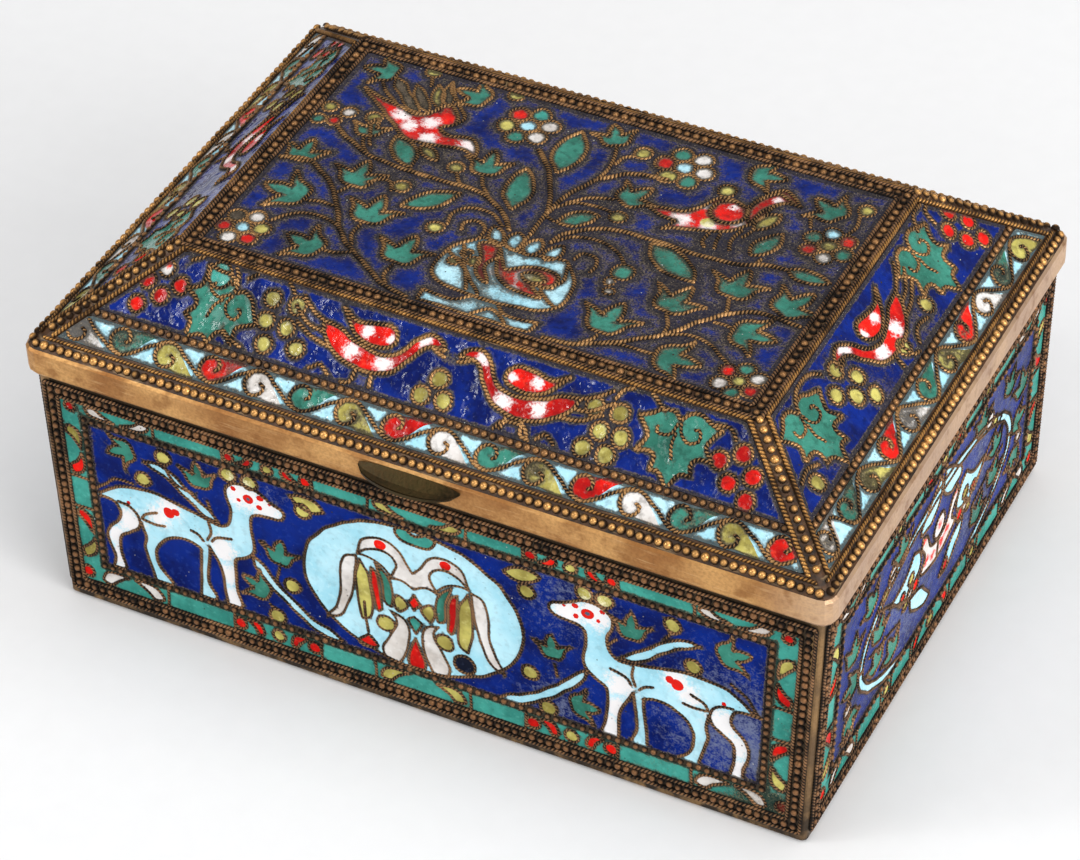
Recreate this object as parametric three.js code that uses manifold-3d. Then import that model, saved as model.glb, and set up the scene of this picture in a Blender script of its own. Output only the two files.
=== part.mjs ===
// Hinged cloisonne enamel box: a rectangular metal box with a hipped lid, enamel
// set in shallow trays, pictures in raised wire on the enamel, and soldered beading
// along every edge of the trays.
// Millimetres, +Z up. The origin is the centre of the underside, +X runs along
// the long front, and the front faces -Y.
import * as THREE from 'three';
import { mergeVertices } from 'three/addons/utils/BufferGeometryUtils.js';
import Module from 'manifold-3d';

const wasm = await Module();
wasm.setup();

// Driving dimensions
const LID_HALF = [65, 45];            // outer half sizes of the lid's band
const BAND_BOTTOM = 43.6;             // lower edge of the band
const BAND_TOP = 48.4;                // where the slopes of the lid begin
const PANEL_TOP = 61.5;               // flat panel on top of the lid
const PANEL_HALF = [47, 28.4];        // half sizes of that panel
const SLOPE_FOOT_HALF = [64.6, 44.6]; // foot of the slopes, just inside the band's face
const BASE_FOOT_HALF = [62, 45];      // the ends lean out upwards, the long sides lean in
const BASE_RIM_HALF = [63.57, 43.53];
const WALL_TOP = 46;                  // rim of the base, hidden inside the band
const FLOOR = 1.6;                    // thickness of the bottom
const SHELL = 2;                      // walls and lid, metal and enamel together
const BAND_WALL = 1.1;                // the band stands clear of the base wall
const BAND_CORNER = 2.4;              // radii of the upright corners
const BASE_CORNER = 0.9;
const TRAY = 0.7;                     // depth of the enamel trays
const SEAT = 0.05;                    // gap under whatever is soldered or fused on
const SIDE_GAP = 0.06;                // gap around each enamel field

// Beading: a row of shot between two twisted wires, or a single row of shot
const WIRE_RISE = 0.4;
const SHOT_RISE = 0.8;
const HIP_HALF = 1.75;                // half width of the strip along each hip
const FRAME_WIDTH = 3;                // frame of the top panel
const OUTER_FRAME = [0.6, 3.1];       // outer frame of a wall, from its upright edges
const FRAME_FOOT = 1.45;              // plain edge left below that frame
const FRAME_HEAD = 42.35;             // top of that frame, just under the band
const HINGE_FRAME_HEAD = 36.9;        // the same on the back, below the hinge
const WALL_BORDER = 3.5;              // width of the enamel border on the walls
const WALL_BORDER_HEAD = 2.5;         // the same along the top of a wall
const SHOT_ROW = 1.2;                 // width of a single row of shot
const LID_EDGE = [0.35, 2.65];        // lower beading of the lid, up the slope
const LID_BORDER = [2.75, 7.3];       // scrolled border of the lid, up the slope
const FIELD_HEAD = 0.3;               // plain metal left above the pictures of the slopes

// Raised wire of the pictures
const WIRE_HALF = 0.34;               // half width
const WIRE_STANDS = 0.34;             // height over the enamel

// Thumb lip
const LIP_HALF = 8.1;
const LIP_REACH = 3;

// Hinge along the back
const HINGE_AXIS = [45.4, 41.2];      // y and z of the pin
const KNUCKLE_R = 1.5;
const KNUCKLE_BORE = 0.8;
const KNUCKLE_SIDES = 16;
const PIN_SIDES = 12;
const PIN_R = 0.72;
const KNUCKLE_ENDS = [-62.8, -38, -13, 13, 38, 62.8];
const KNUCKLE_GAP = 0.4;
const LEAF = 0.75;                    // thickness of the hinge leaves

const colours = {
  brass: { color: 0xa87a3c, roughness: 0.45, metalness: 1 },
  darkBrass: { color: 0x6f5430, roughness: 0.55, metalness: 1 },
  cobalt: { color: 0x14206e, roughness: 0.3, metalness: 0 },
  teal: { color: 0x2f9c85, roughness: 0.35, metalness: 0 },
  turquoise: { color: 0x7fcfd8, roughness: 0.35, metalness: 0 },
};

const box = new THREE.Group();
function addPart(name, geometry, finish) {
  const mesh = new THREE.Mesh(geometry, new THREE.MeshStandardMaterial(colours[finish]));
  mesh.name = name;
  box.add(mesh);
}

// --- closed meshes from rows of points -------------------------------------
// Joins rows of equal length into a tube, closing around the points of each row.
// A closed tube joins its last row to its first, an open one gets flat ends.
function skin(rows, closed) {
  const count = rows[0].length;
  const position = rows.flat().flatMap((p) => [p.x, p.y, p.z]);
  const index = [];
  const last = closed ? rows.length : rows.length - 1;
  for (let i = 0; i < last; i += 1) {
    const next = (i + 1) % rows.length;
    for (let j = 0; j < count; j += 1) {
      const k = (j + 1) % count;
      const [a, b, c, d] = [i * count + j, i * count + k, next * count + k, next * count + j];
      index.push(a, b, c, a, c, d);
    }
  }
  if (!closed) {
    const cap = (row, start, flip) => {
      const flat = flatten(row);
      for (const [a, b, c] of THREE.ShapeUtils.triangulateShape(flat, [])) {
        index.push(start + a, start + (flip ? c : b), start + (flip ? b : c));
      }
    };
    cap(rows[0], 0, true);
    cap(rows[rows.length - 1], (rows.length - 1) * count, false);
  }
  const geometry = new THREE.BufferGeometry();
  geometry.setAttribute('position', new THREE.Float32BufferAttribute(position, 3));
  geometry.setIndex(index);
  return outward(geometry);
}

// A flat loop of points in its own plane, turning the way its normal says.
function flatten(loop) {
  const normal = new THREE.Vector3();
  loop.forEach((p, i) => normal.add(p.clone().cross(loop[(i + 1) % loop.length])));
  normal.normalize();
  const across = Math.abs(normal.z) < 0.9 ? new THREE.Vector3(0, 0, 1) : new THREE.Vector3(1, 0, 0);
  const u = across.cross(normal).normalize();
  const v = normal.clone().cross(u);
  return loop.map((p) => new THREE.Vector2(p.dot(u), p.dot(v)));
}

// Turns a closed mesh's faces outwards if its volume comes out negative.
function outward(geometry) {
  const p = geometry.attributes.position;
  const index = geometry.index.array;
  const [a, b, c] = [new THREE.Vector3(), new THREE.Vector3(), new THREE.Vector3()];
  let volume = 0;
  for (let i = 0; i < index.length; i += 3) {
    a.fromBufferAttribute(p, index[i]);
    b.fromBufferAttribute(p, index[i + 1]);
    c.fromBufferAttribute(p, index[i + 2]);
    volume += a.dot(b.cross(c));
  }
  if (volume < 0) {
    for (let i = 0; i < index.length; i += 3) {
      [index[i + 1], index[i + 2]] = [index[i + 2], index[i + 1]];
    }
  }
  return geometry;
}

function solid(geometry) {
  const bare = geometry.clone();
  bare.deleteAttribute('normal');
  bare.deleteAttribute('uv');
  const merged = mergeVertices(bare, 1e-4);
  return new wasm.Manifold(new wasm.Mesh({
    numProp: 3,
    vertProperties: new Float32Array(merged.attributes.position.array),
    triVerts: new Uint32Array(merged.index.array),
  }));
}

function fromSolid(manifold) {
  const mesh = manifold.getMesh();
  const geometry = new THREE.BufferGeometry();
  geometry.setAttribute('position', new THREE.BufferAttribute(mesh.vertProperties, 3));
  geometry.setIndex(new THREE.BufferAttribute(mesh.triVerts, 1));
  return geometry;
}

// --- flat faces of the box ---------------------------------------------------
// Each face has u to the right and v upwards as seen from outside, and w outwards.
// v = 0 is its lower edge, and its half width runs evenly from low to high.
function face(origin, u, top, halfLow, halfHigh) {
  const v = top.clone().sub(origin);
  const length = v.length();
  v.normalize();
  const w = u.clone().cross(v);
  return { origin, u, v, w, length, halfLow, halfHigh };
}

function at(f, u, v, w) {
  return f.origin.clone().addScaledVector(f.u, u).addScaledVector(f.v, v).addScaledVector(f.w, w);
}

function halfWidth(f, v, inset) {
  const lean = (f.halfLow - f.halfHigh) / f.length;
  return f.halfLow - lean * v - inset * Math.hypot(1, lean);
}

// The four corners of a field between two heights, inset from the face's side edges.
function field(f, low, high, inset, w) {
  const a = halfWidth(f, low, inset);
  const b = halfWidth(f, high, inset);
  return [at(f, -a, low, w), at(f, a, low, w), at(f, b, high, w), at(f, -b, high, w)];
}

function plate(f, low, high, inset, bottom, top) {
  return skin([field(f, low, high, inset, bottom), field(f, low, high, inset, top)], false);
}

// A frame between two such fields, each given as low, high and inset.
function framePlate(f, outer, inner, bottom, top) {
  return skin([field(f, ...outer, bottom), field(f, ...outer, top),
    field(f, ...inner, top), field(f, ...inner, bottom)], true);
}

// Sections of the beading: distance across, and height over the metal.
function beadingSection(width) {
  const middle = width / 2;
  const shot = SHOT_ROW / 2;
  return [
    [0, SEAT], [0.12, WIRE_RISE], [middle - shot, WIRE_RISE], [middle - shot * 0.5, SHOT_RISE],
    [middle + shot * 0.5, SHOT_RISE], [middle + shot, WIRE_RISE], [width - 0.12, WIRE_RISE],
    [width, SEAT],
  ];
}

function shotSection(width) {
  return [
    [0.08, SEAT], [0.2, SHOT_RISE * 0.6], [width * 0.5, SHOT_RISE * 0.85],
    [width - 0.2, SHOT_RISE * 0.6], [width - 0.08, SEAT],
  ];
}

function frameBeading(f, low, high, inset, section) {
  return skin(section.map(([d, h]) => field(f, low + d, high - d, inset + d, h)), true);
}

// A straight strip across a face, cut at both ends along the face's side edges.
function stripBeading(f, low, inset, section) {
  const ends = [-1, 1].map((side) => section.map(
    ([d, h]) => at(f, side * halfWidth(f, low + d, inset), low + d, h),
  ));
  return skin(ends, false);
}

// --- rectangular rings -------------------------------------------------------
const CORNER_STEPS = 3;
function ring(halfX, halfY, z, radius) {
  const points = [];
  const corners = [[1, -1, -90], [1, 1, 0], [-1, 1, 90], [-1, -1, 180]];
  for (const [sx, sy, start] of corners) {
    for (let i = 0; i <= CORNER_STEPS; i += 1) {
      const angle = THREE.MathUtils.degToRad(start + (90 * i) / CORNER_STEPS);
      points.push(new THREE.Vector3(
        sx * (halfX - radius) + radius * Math.cos(angle),
        sy * (halfY - radius) + radius * Math.sin(angle),
        z,
      ));
    }
  }
  return points;
}

const SIDES = {
  front: [0, -1],
  right: [1, 0],
  back: [0, 1],
  left: [-1, 0],
};

// A leaning face on one side, from a lower rectangle to an upper one.
function sideFace([nx, ny], low, zLow, high, zHigh) {
  const out = nx !== 0 ? 0 : 1;
  const along = 1 - out;
  const origin = new THREE.Vector3(nx * low[out], ny * low[out], zLow);
  const top = new THREE.Vector3(nx * high[out], ny * high[out], zHigh);
  return face(origin, new THREE.Vector3(-ny, nx, 0), top, low[along], high[along]);
}

const walls = {};
const slopes = {};
for (const [side, normal] of Object.entries(SIDES)) {
  walls[side] = sideFace(normal, BASE_FOOT_HALF, 0, BASE_RIM_HALF, WALL_TOP);
  slopes[side] = sideFace(normal, SLOPE_FOOT_HALF, BAND_TOP, PANEL_HALF, PANEL_TOP);
}
const panel = face(
  new THREE.Vector3(0, -PANEL_HALF[1], PANEL_TOP),
  new THREE.Vector3(1, 0, 0),
  new THREE.Vector3(0, PANEL_HALF[1], PANEL_TOP),
  PANEL_HALF[0],
  PANEL_HALF[0],
);

// Cuts a tray into the metal and returns the enamel that fills it.
const cut = { base: [], lid: [] };
function enamel(shell, make) {
  cut[shell].push(solid(make(0, -TRAY, 1)));
  return make(SIDE_GAP, SEAT - TRAY, -SEAT);
}

// --- pictures in raised wire ---------------------------------------------------
// A picture is one net of wire over a field. Its outlines and stems are drawn flat, in
// millimetres on the face, joined to a wire along the field's edge and stood up from it.
const turnAngle = THREE.MathUtils.degToRad;
const TOUCHES = 1.6 * WIRE_HALF;      // wires nearer than this run into each other
const CORNER_REACH = 4;               // how far a sharp corner may run out, in half widths
const STRAIGHT = 0.1;                 // bends smaller than this are left out

function arc(u, v, radiusU, radiusV, steps) {
  return Array.from({ length: steps }, (_, i) => {
    const angle = (2 * Math.PI * i) / steps;
    return [u + radiusU * Math.cos(angle), v + radiusV * Math.sin(angle)];
  });
}

// Points moved to a place, with their +v axis turned to point that many degrees.
function placed(points, u, v, turn = 90, size = 1, flip = 1) {
  const [c, s] = [Math.cos(turnAngle(turn - 90)), Math.sin(turnAngle(turn - 90))];
  return points.map(([a, b]) => {
    const [x, y] = [a * size * flip, b * size];
    return [u + x * c - y * s, v + x * s + y * c];
  });
}

// A closed outline from its right half, which starts and ends on the middle line.
function mirrored(half) {
  return [...half, ...half.slice(1, -1).reverse().map(([u, v]) => [-u, v])];
}

// A long leaf between two tips.
function longLeaf([u0, v0], [u1, v1], width) {
  const across = [-(v1 - v0), u1 - u0].map((d) => (d * width) / 2 / Math.hypot(u1 - u0, v1 - v0));
  const swell = (side) => [(u0 + u1) / 2 + across[0] * side, (v0 + v1) / 2 + across[1] * side];
  return [[u0, v0], swell(-1), [u1, v1], swell(1)];
}

const IVY_HALF = [[0, -2.7], [4.8, 2.1], [1.5, 1.1], [0, 4.4]];
const ivyLeaf = (u, v, turn, size = 0.9) => placed(mirrored(IVY_HALF), u, v, turn, size);

// A flat polygon for one wire along an open line.
function strip(line) {
  const sides = [[], []];
  line.forEach(([u, v], i) => {
    const [a, b] = [line[Math.max(i - 1, 0)], line[Math.min(i + 1, line.length - 1)]];
    const length = Math.hypot(b[0] - a[0], b[1] - a[1]);
    const [du, dv] = [(-(b[1] - a[1]) * WIRE_HALF) / length, ((b[0] - a[0]) * WIRE_HALF) / length];
    sides[0].push([u - du, v - dv]);
    sides[1].push([u + du, v + dv]);
  });
  return new wasm.CrossSection([[...sides[0], ...sides[1].reverse()]], 'NonZero');
}

// A flat ring for one wire round a closed outline.
function hoop(outline) {
  const filled = new wasm.CrossSection([outline], 'NonZero');
  const grown = (by) => filled.offset(by, 'Miter', CORNER_REACH);
  return grown(WIRE_HALF).subtract(grown(-WIRE_HALF));
}

// The shortest link from some points to others, as a line a little longer than the gap.
function link(points, others) {
  let best = { gap: Infinity };
  for (const p of points) {
    for (const q of others) {
      const gap = Math.hypot(q[0] - p[0], q[1] - p[1]);
      if (gap < best.gap) best = { gap, ends: [p, q] };
    }
  }
  return best;
}

// Stands a net of wire up from the enamel of a field.
function pictureWires(name, f, [low, high, inset], { stems = [], outlines = [] }) {
  const [a, b] = [halfWidth(f, low, inset), halfWidth(f, high, inset)];
  const tray = new wasm.CrossSection([[[-a, low], [a, low], [b, high], [-b, high]]]);
  let net = tray.subtract(tray.offset(-2 * WIRE_HALF, 'Miter', CORNER_REACH));
  const placedPoints = [];
  for (let v = low; v <= high; v += 1) {
    placedPoints.push([-halfWidth(f, v, inset), v], [halfWidth(f, v, inset), v]);
  }
  for (let share = -1; share <= 1; share += 1 / 64) placedPoints.push([a * share, low], [b * share, high]);
  for (const [line, make] of [...stems.map((s) => [s, strip]), ...outlines.map((o) => [o, hoop])]) {
    const { gap, ends } = link(line, placedPoints);
    if (gap > TOUCHES) net = net.add(strip(ends));
    net = net.add(make(line));
    placedPoints.push(...line);
  }
  const matrix = new THREE.Matrix4().makeBasis(f.u, f.v, f.w).setPosition(f.origin);
  const wires = net.intersect(tray).simplify(STRAIGHT).extrude(WIRE_STANDS);
  addPart(name, fromSolid(wires.transform(matrix.elements)), 'brass');
}

// Pictures of the walls, v from the foot: two hounds facing a two-headed bird in a ring
// on the front, rings round a bird and round leaves on the ends, a rolling stem behind.
const HOUND = [
  [-55.6, 22.4], [-51.6, 25], [-46, 26.3], [-33, 24.3], [-31.4, 28], [-31.8, 32.6], [-28.6, 33.8],
  [-22.3, 30.6], [-27.8, 28], [-27.8, 22.4], [-31, 18.6], [-30.7, 9], [-33, 9], [-35.4, 19.2],
  [-35.6, 9], [-37.8, 9], [-37.2, 18.8], [-41.4, 19.1], [-45, 15.4], [-42.9, 9], [-45.6, 9],
  [-48.6, 17.2], [-51.5, 15], [-51.1, 9], [-53, 9], [-53.5, 15.6], [-51.2, 20.4],
];
const BIRD_HEADS = [[0, 2.4], [4.4, 3], [2.7, 5.8], [5.2, 8], [9.2, 6], [6.2, 10.2], [3.2, 9.6], [0, 5.2]];
const BIRD_FEATHER = [[9.6, 5.4], [12.2, 2], [14.8, -8.6], [10.6, -3.6]];
const BIRD_TAIL = [[4.1, -3.2], [3.1, -5.5], [5.6, -11.8], [2.4, -13], [1.1, -6.4]];
const bothWays = (points, u, v) => [1, -1].map((flip) => placed(points, u, v, 90, 1, flip));

const wallPictures = {
  front: {
    outlines: [
      arc(-1.2, 22.3, 18.1, 13.5, 20),
      HOUND, HOUND.map(([u, v]) => [-u - 1.4, v - 0.3]),
      placed(mirrored(BIRD_HEADS), -0.9, 22),
      ...bothWays(BIRD_FEATHER, -0.9, 22), ...bothWays(BIRD_TAIL, -0.9, 22),
      ...[[-49, 32.4, 200], [-23.2, 22.2, 85], [49, 31.6, 20], [21.6, 21.6, 95]].map(
        ([u, v, turn]) => ivyLeaf(u, v, turn, 0.75),
      ),
    ],
    stems: [-1, 1].flatMap((side) => [
      [[-45.6, 32.4], [-41, 30.4], [-33.6, 24.6]], [[-28, 20.4], [-23.6, 15], [-14, 9]],
    ].map((line) => line.map(([u, v]) => [side * u - (side < 0 ? 1.4 : 0), v]))),
  },
  back: {
    stems: [Array.from({ length: 21 }, (_, i) => [5.2 * (i - 10), 19.5 + 6 * Math.sin(Math.PI * (i - 10) / 4)])],
    outlines: [-2, 0, 2].map((bay) => ivyLeaf(20.8 * bay, 24, 90, 0.8)),
  },
};
for (const side of ['right', 'left']) {
  const rings = [arc(0.5, 19.8, 29.5, 13.6, 20), arc(0.5, 19.8, 27.9, 12, 20)];
  const leaves = [ivyLeaf(22.9, 19.6, 110, 0.7), ivyLeaf(-21.9, 19.6, 70, 0.7)];
  wallPictures[side] = { outlines: [...rings, ...leaves] };
}
wallPictures.right.outlines.push(
  ...bothWays([[18.6, 24], [10, 27.4], [7.2, 22], [12.4, 20]], 0.4, 0),
  ...bothWays([[0.8, 18.6], [5.6, 20.2], [6.8, 26.8], [3.6, 24]], 0.4, 0),
  arc(0.4, 24.8, 2.4, 2.4, 6),
);
for (let turn = 90; turn < 450; turn += 72) {
  const [u, v] = [Math.cos(turnAngle(turn)), Math.sin(turnAngle(turn))];
  wallPictures.left.outlines.push(ivyLeaf(0.5 + 6.4 * u, 20 + 6.4 * v, turn, 0.9));
}

// --- base: walls with a border and a picture field each ----------------------
for (const [side, wall] of Object.entries(walls)) {
  const head = side === 'back' ? HINGE_FRAME_HEAD : FRAME_HEAD;
  const [frameStart, frameEnd] = OUTER_FRAME;
  const width = frameEnd - frameStart;
  const borderLow = FRAME_FOOT + width;
  const borderHigh = head - width;
  const shotLow = borderLow + WALL_BORDER;
  const shotHigh = borderHigh - WALL_BORDER_HEAD;
  const shotInset = frameEnd + WALL_BORDER;
  addPart(`base_outer_beading_${side}`,
    frameBeading(wall, FRAME_FOOT, head, frameStart, beadingSection(width)), 'darkBrass');
  addPart(`base_border_enamel_${side}`,
    enamel('base', (gap, bottom, top) => framePlate(wall,
      [borderLow + gap, borderHigh - gap, frameEnd + gap],
      [shotLow - gap, shotHigh + gap, shotInset - gap], bottom, top)), 'teal');
  addPart(`base_inner_beading_${side}`,
    frameBeading(wall, shotLow, shotHigh, shotInset, shotSection(SHOT_ROW)), 'darkBrass');
  addPart(`base_field_enamel_${side}`,
    enamel('base', (gap, bottom, top) => plate(wall, shotLow + SHOT_ROW + gap,
      shotHigh - SHOT_ROW - gap, shotInset + SHOT_ROW + gap, bottom, top)), 'cobalt');
  pictureWires(`base_picture_wires_${side}`, wall, [shotLow + SHOT_ROW + SIDE_GAP,
    shotHigh - SHOT_ROW - SIDE_GAP, shotInset + SHOT_ROW + SIDE_GAP], wallPictures[side]);
}

// --- base shell: bottom and four walls of one tray ----------------------------
const FOOT_ROUND = 0.5;
const shrink = ([x, y], by) => [x - by, y - by];
const footRing = shrink(BASE_FOOT_HALF, FOOT_ROUND);
const rimInside = shrink(BASE_RIM_HALF, SHELL);
const floorInside = shrink(BASE_FOOT_HALF, SHELL);
let baseShell = solid(skin([
  ring(...floorInside, FLOOR, BASE_CORNER),
  ring(...rimInside, WALL_TOP, BASE_CORNER),
  ring(...BASE_RIM_HALF, WALL_TOP, BASE_CORNER),
  ring(...BASE_FOOT_HALF, FOOT_ROUND, BASE_CORNER),
  ring(...footRing, 0, BASE_CORNER - 0.3),
], false));
for (const tray of cut.base) baseShell = baseShell.subtract(tray);
addPart('base_shell', fromSolid(baseShell), 'brass');

// Picture of the panel, from its middle: a bowl on a foot, with stems, leaves and birds.
const BOWL_HALF = [[0, -20.6], [7, -19.9], [10.4, -16.8], [10.2, -12.8], [6.6, -7.8], [0, -8.9]];
const FOOT_HALF = [[0, -24.7], [9, -24.7], [9, -22.4], [2.2, -21], [0, -20.6]];
const FLYING = [
  [-40.2, 17.2], [-32.8, 15.2], [-29, 14.8], [-26.4, 18.4], [-24.4, 17.4], [-24.8, 12.9], [-22.6, 11.6],
  [-18.6, 12.2], [-16.8, 8.4], [-22.6, 8.8], [-28.4, 8.4], [-33.4, 12],
];
const RISING = [
  [11.4, 8.6], [18.2, 10.4], [20.4, 14.6], [25, 14.4], [26.8, 18.8], [29, 20.2], [32.6, 17.8],
  [28.6, 16.2], [27, 10.6], [24.4, 7.8], [16, 5],
];
const panelPicture = {
  stems: [
    [[-10.2, -24.9], [-15, -23.6], [-25, -17], [-30.6, -9.2], [-34.2, -5.4], [-39, -2.6], [-43.6, -3.5]],
    [[11, -24.8], [16, -24], [24.6, -18.6], [30, -12], [33, -8.9], [36.8, -6.9], [43.6, -7.2]],
    [[-3.6, -7.8], [-3.9, -5.2], [-9.6, 0.2], [-14, 1.5], [-27, 1.7], [-31.6, 2.5], [-39.6, 7]],
    [[2.4, -7.8], [2.7, -5.2], [6.4, 0.2], [10.6, 1.6], [22, 1.4], [28.6, 1.7], [32.8, 3.3], [36.6, 3.5]],
    [[-0.9, -8.4], [-0.9, 0.6], [-3.2, 6.8], [-5.6, 10.6], [-9, 14.3], [-11, 16]],
    [[-0.9, 0.8], [0.8, 8.4], [3.2, 12.2], [7, 15], [10.4, 16.6]],
    [[-27.4, -14.4], [-31, -13.6], [-34.4, -14.4], [-38, -18.4]],
    [[26.4, -16.8], [30, -15.6], [34, -16.4], [38, -19.6]],
    [[-39.6, 7], [-39.4, 9.6]], [[36.6, 3.5], [38.6, 6.4], [38.8, 9.2]],
  ],
  outlines: [
    mirrored(BOWL_HALF), mirrored(FOOT_HALF), FLYING, RISING,
    ...[[-40.7, -1.2, 90], [-37.6, -10.4, 175], [-24.4, -9.8, 90], [-29.2, -20.3, 165],
      [-14, 7.4, 100], [31.4, -3, 88], [40.2, -3.2, 60], [24.8, -9.8, 75], [37.4, -11.8, 0],
      [29.8, -21.2, 5]].map((leaf) => ivyLeaf(...leaf)),
    ...[[[-4, 10.2], [-5, 21], 4.6], [[-21.2, -6.6], [-14.6, -0.2], 3.8], [[-24.2, 2.4], [-30, 8.4], 3.6],
      [[15.8, 1], [25.4, -4.4], 4.4]].map((leaf) => longLeaf(...leaf)),
    ...[[-13, 18.8], [12.9, 19.2], [39.6, 11.6], [-40.1, -20.9], [40.6, -21.6]].map(([u, v]) => arc(u, v, 2.9, 2.9, 6)),
  ].map((outline) => outline.map(([u, v]) => [u, v + PANEL_HALF[1]])),
};
panelPicture.stems = panelPicture.stems.map((line) => line.map(([u, v]) => [u, v + PANEL_HALF[1]]));

// Pictures of the slopes, v up the slope: birds between vine leaves.
const PERCHED = [
  [-0.6, 17.2], [-3.6, 19.4], [-6.6, 16.4], [-11, 14.2], [-24.8, 19.4], [-14.4, 11.6], [-8, 12.3],
  [-4.4, 17],
];
const PERCHED_WING = [[-18.2, 19.6], [-9.6, 18.8], [-8.6, 16.6], [-12, 15.1]];
const VINE_LOBES = 3;
function vineLeaf(u, v) {
  const points = [];
  for (let i = 0; i < VINE_LOBES; i += 1) {
    for (const [turn, reach] of [[120 * i - 60, 4.9], [120 * i, 4.9], [120 * i + 30, 2.8]]) {
      points.push([u + reach * Math.cos(turnAngle(turn)), v + reach * Math.sin(turnAngle(turn))]);
    }
  }
  return points;
}
function perched(shift, flip = 1) {
  return [PERCHED, PERCHED_WING].map((points) => placed(points, shift, 0, 90, 1, flip));
}
const slopePictures = {
  front: [...perched(0), ...perched(0.4, -1), vineLeaf(-37.2, 14), vineLeaf(36.4, 14)],
  right: [...perched(-11.2, -1), vineLeaf(-22.8, 14.6), vineLeaf(18.2, 14.8)],
  back: [...perched(-14), ...perched(14, -1)],
  left: perched(11),
};

// Running scroll along the foot of a slope, drawn as one wave.
const SCROLL = { front: [-57, 7.5, 16], right: [-36.4, 7.05, 11], back: [-57, 7.5, 16], left: [-36.4, 7.05, 11] };
function scrolls([first, pitch, count]) {
  const middle = (LID_BORDER[0] + LID_BORDER[1]) / 2;
  return { stems: [Array.from({ length: count }, (_, i) => [first + pitch * i, middle + (i % 2 ? -1.9 : 1.9)])] };
}

// --- lid: panel, four slopes, band ---------------------------------------------
addPart('lid_panel_beading',
  frameBeading(panel, 0, panel.length, 0, beadingSection(FRAME_WIDTH)), 'darkBrass');
addPart('lid_panel_enamel',
  enamel('lid', (gap, bottom, top) => plate(panel, FRAME_WIDTH + gap,
    panel.length - FRAME_WIDTH - gap, FRAME_WIDTH + gap, bottom, top)), 'cobalt');
const panelEdge = FRAME_WIDTH + SIDE_GAP;
pictureWires('lid_picture_wires_panel', panel, [panelEdge, panel.length - panelEdge, panelEdge], panelPicture);
for (const [side, slope] of Object.entries(slopes)) {
  const [borderLow, borderHigh] = LID_BORDER;
  const fieldLow = borderHigh + SHOT_ROW;
  const inset = HIP_HALF + 0.1;
  addPart(`lid_border_enamel_${side}`,
    enamel('lid', (gap, bottom, top) => plate(slope, borderLow + gap, borderHigh - gap,
      inset + gap, bottom, top)), 'turquoise');
  addPart(`lid_border_beading_${side}`,
    stripBeading(slope, borderHigh, inset, shotSection(SHOT_ROW)), 'darkBrass');
  addPart(`lid_field_enamel_${side}`,
    enamel('lid', (gap, bottom, top) => plate(slope, fieldLow + gap, slope.length - FIELD_HEAD - gap,
      inset + gap, bottom, top)), 'cobalt');
  pictureWires(`lid_picture_wires_${side}`, slope, [fieldLow + SIDE_GAP, slope.length - FIELD_HEAD - SIDE_GAP,
    inset + SIDE_GAP], { outlines: slopePictures[side] });
  pictureWires(`lid_scroll_wires_${side}`, slope, [borderLow + SIDE_GAP, borderHigh - SIDE_GAP,
    inset + SIDE_GAP], scrolls(SCROLL[side]));
}

// Point on the corner line of the lid's slopes, a share of the way up and lifted off it.
function hipRing(share, lift) {
  const lerp = (axis) => THREE.MathUtils.lerp(SLOPE_FOOT_HALF[axis], PANEL_HALF[axis], share);
  const normal = slopes.front.w;
  return ring(lerp(0) + lift * -normal.y, lerp(1) + lift * -normal.y,
    THREE.MathUtils.lerp(BAND_TOP, PANEL_TOP, share) + lift * normal.z, 0.6);
}
const edgeSection = beadingSection(LID_EDGE[1] - LID_EDGE[0]);
addPart('lid_edge_beading', skin(edgeSection.map(
  ([d, h]) => hipRing((LID_EDGE[0] + d) / slopes.front.length, h),
), true), 'brass');

// Hip strips: the beading's section folded over the ridge between two slopes.
const HIP_FOOT = 50.5;                // above the lower beading
const HIP_HEAD = 61.3;                // below the panel's frame
function hipStrip(sx, sy) {
  const foot = new THREE.Vector3(sx * SLOPE_FOOT_HALF[0], sy * SLOPE_FOOT_HALF[1], BAND_TOP);
  const head = new THREE.Vector3(sx * PANEL_HALF[0], sy * PANEL_HALF[1], PANEL_TOP);
  const along = head.clone().sub(foot).normalize();
  const ends = sx > 0 ? slopes.right : slopes.left;
  const longs = sy > 0 ? slopes.back : slopes.front;
  const ridge = ends.w.clone().add(longs.w).normalize();
  const sideways = (slope) => {
    const l = slope.w.clone().cross(along).normalize();
    const middle = new THREE.Vector3(0, 0, l.z);
    return l.dot(new THREE.Vector3(-sx, -sy, 0)) + middle.z > 0 ? l : l.negate();
  };
  const profile = [];
  for (const [slope, order] of [[ends, 1], [longs, -1]]) {
    const side = sideways(slope);
    const points = [[HIP_HALF, SEAT], [HIP_HALF - 0.12, WIRE_RISE], [0.65, WIRE_RISE]]
      .map(([s, h]) => side.clone().multiplyScalar(s).addScaledVector(slope.w, h));
    points.push(side.clone().multiplyScalar(0.25).addScaledVector(ridge, SHOT_RISE));
    profile.push(...(order > 0 ? points : points.reverse()));
  }
  profile.push(ridge.clone().multiplyScalar(SEAT * 1.5));
  const cutAt = (z) => profile.map((p) => {
    const start = foot.clone().add(p);
    return start.addScaledVector(along, (z - start.z) / along.z);
  });
  return skin([cutAt(HIP_FOOT), cutAt(HIP_HEAD)], false);
}
for (const [name, sx, sy] of [
  ['front_left', -1, -1], ['front_right', 1, -1], ['back_right', 1, 1], ['back_left', -1, 1],
]) {
  addPart(`lid_hip_beading_${name}`, hipStrip(sx, sy), 'brass');
}

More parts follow.
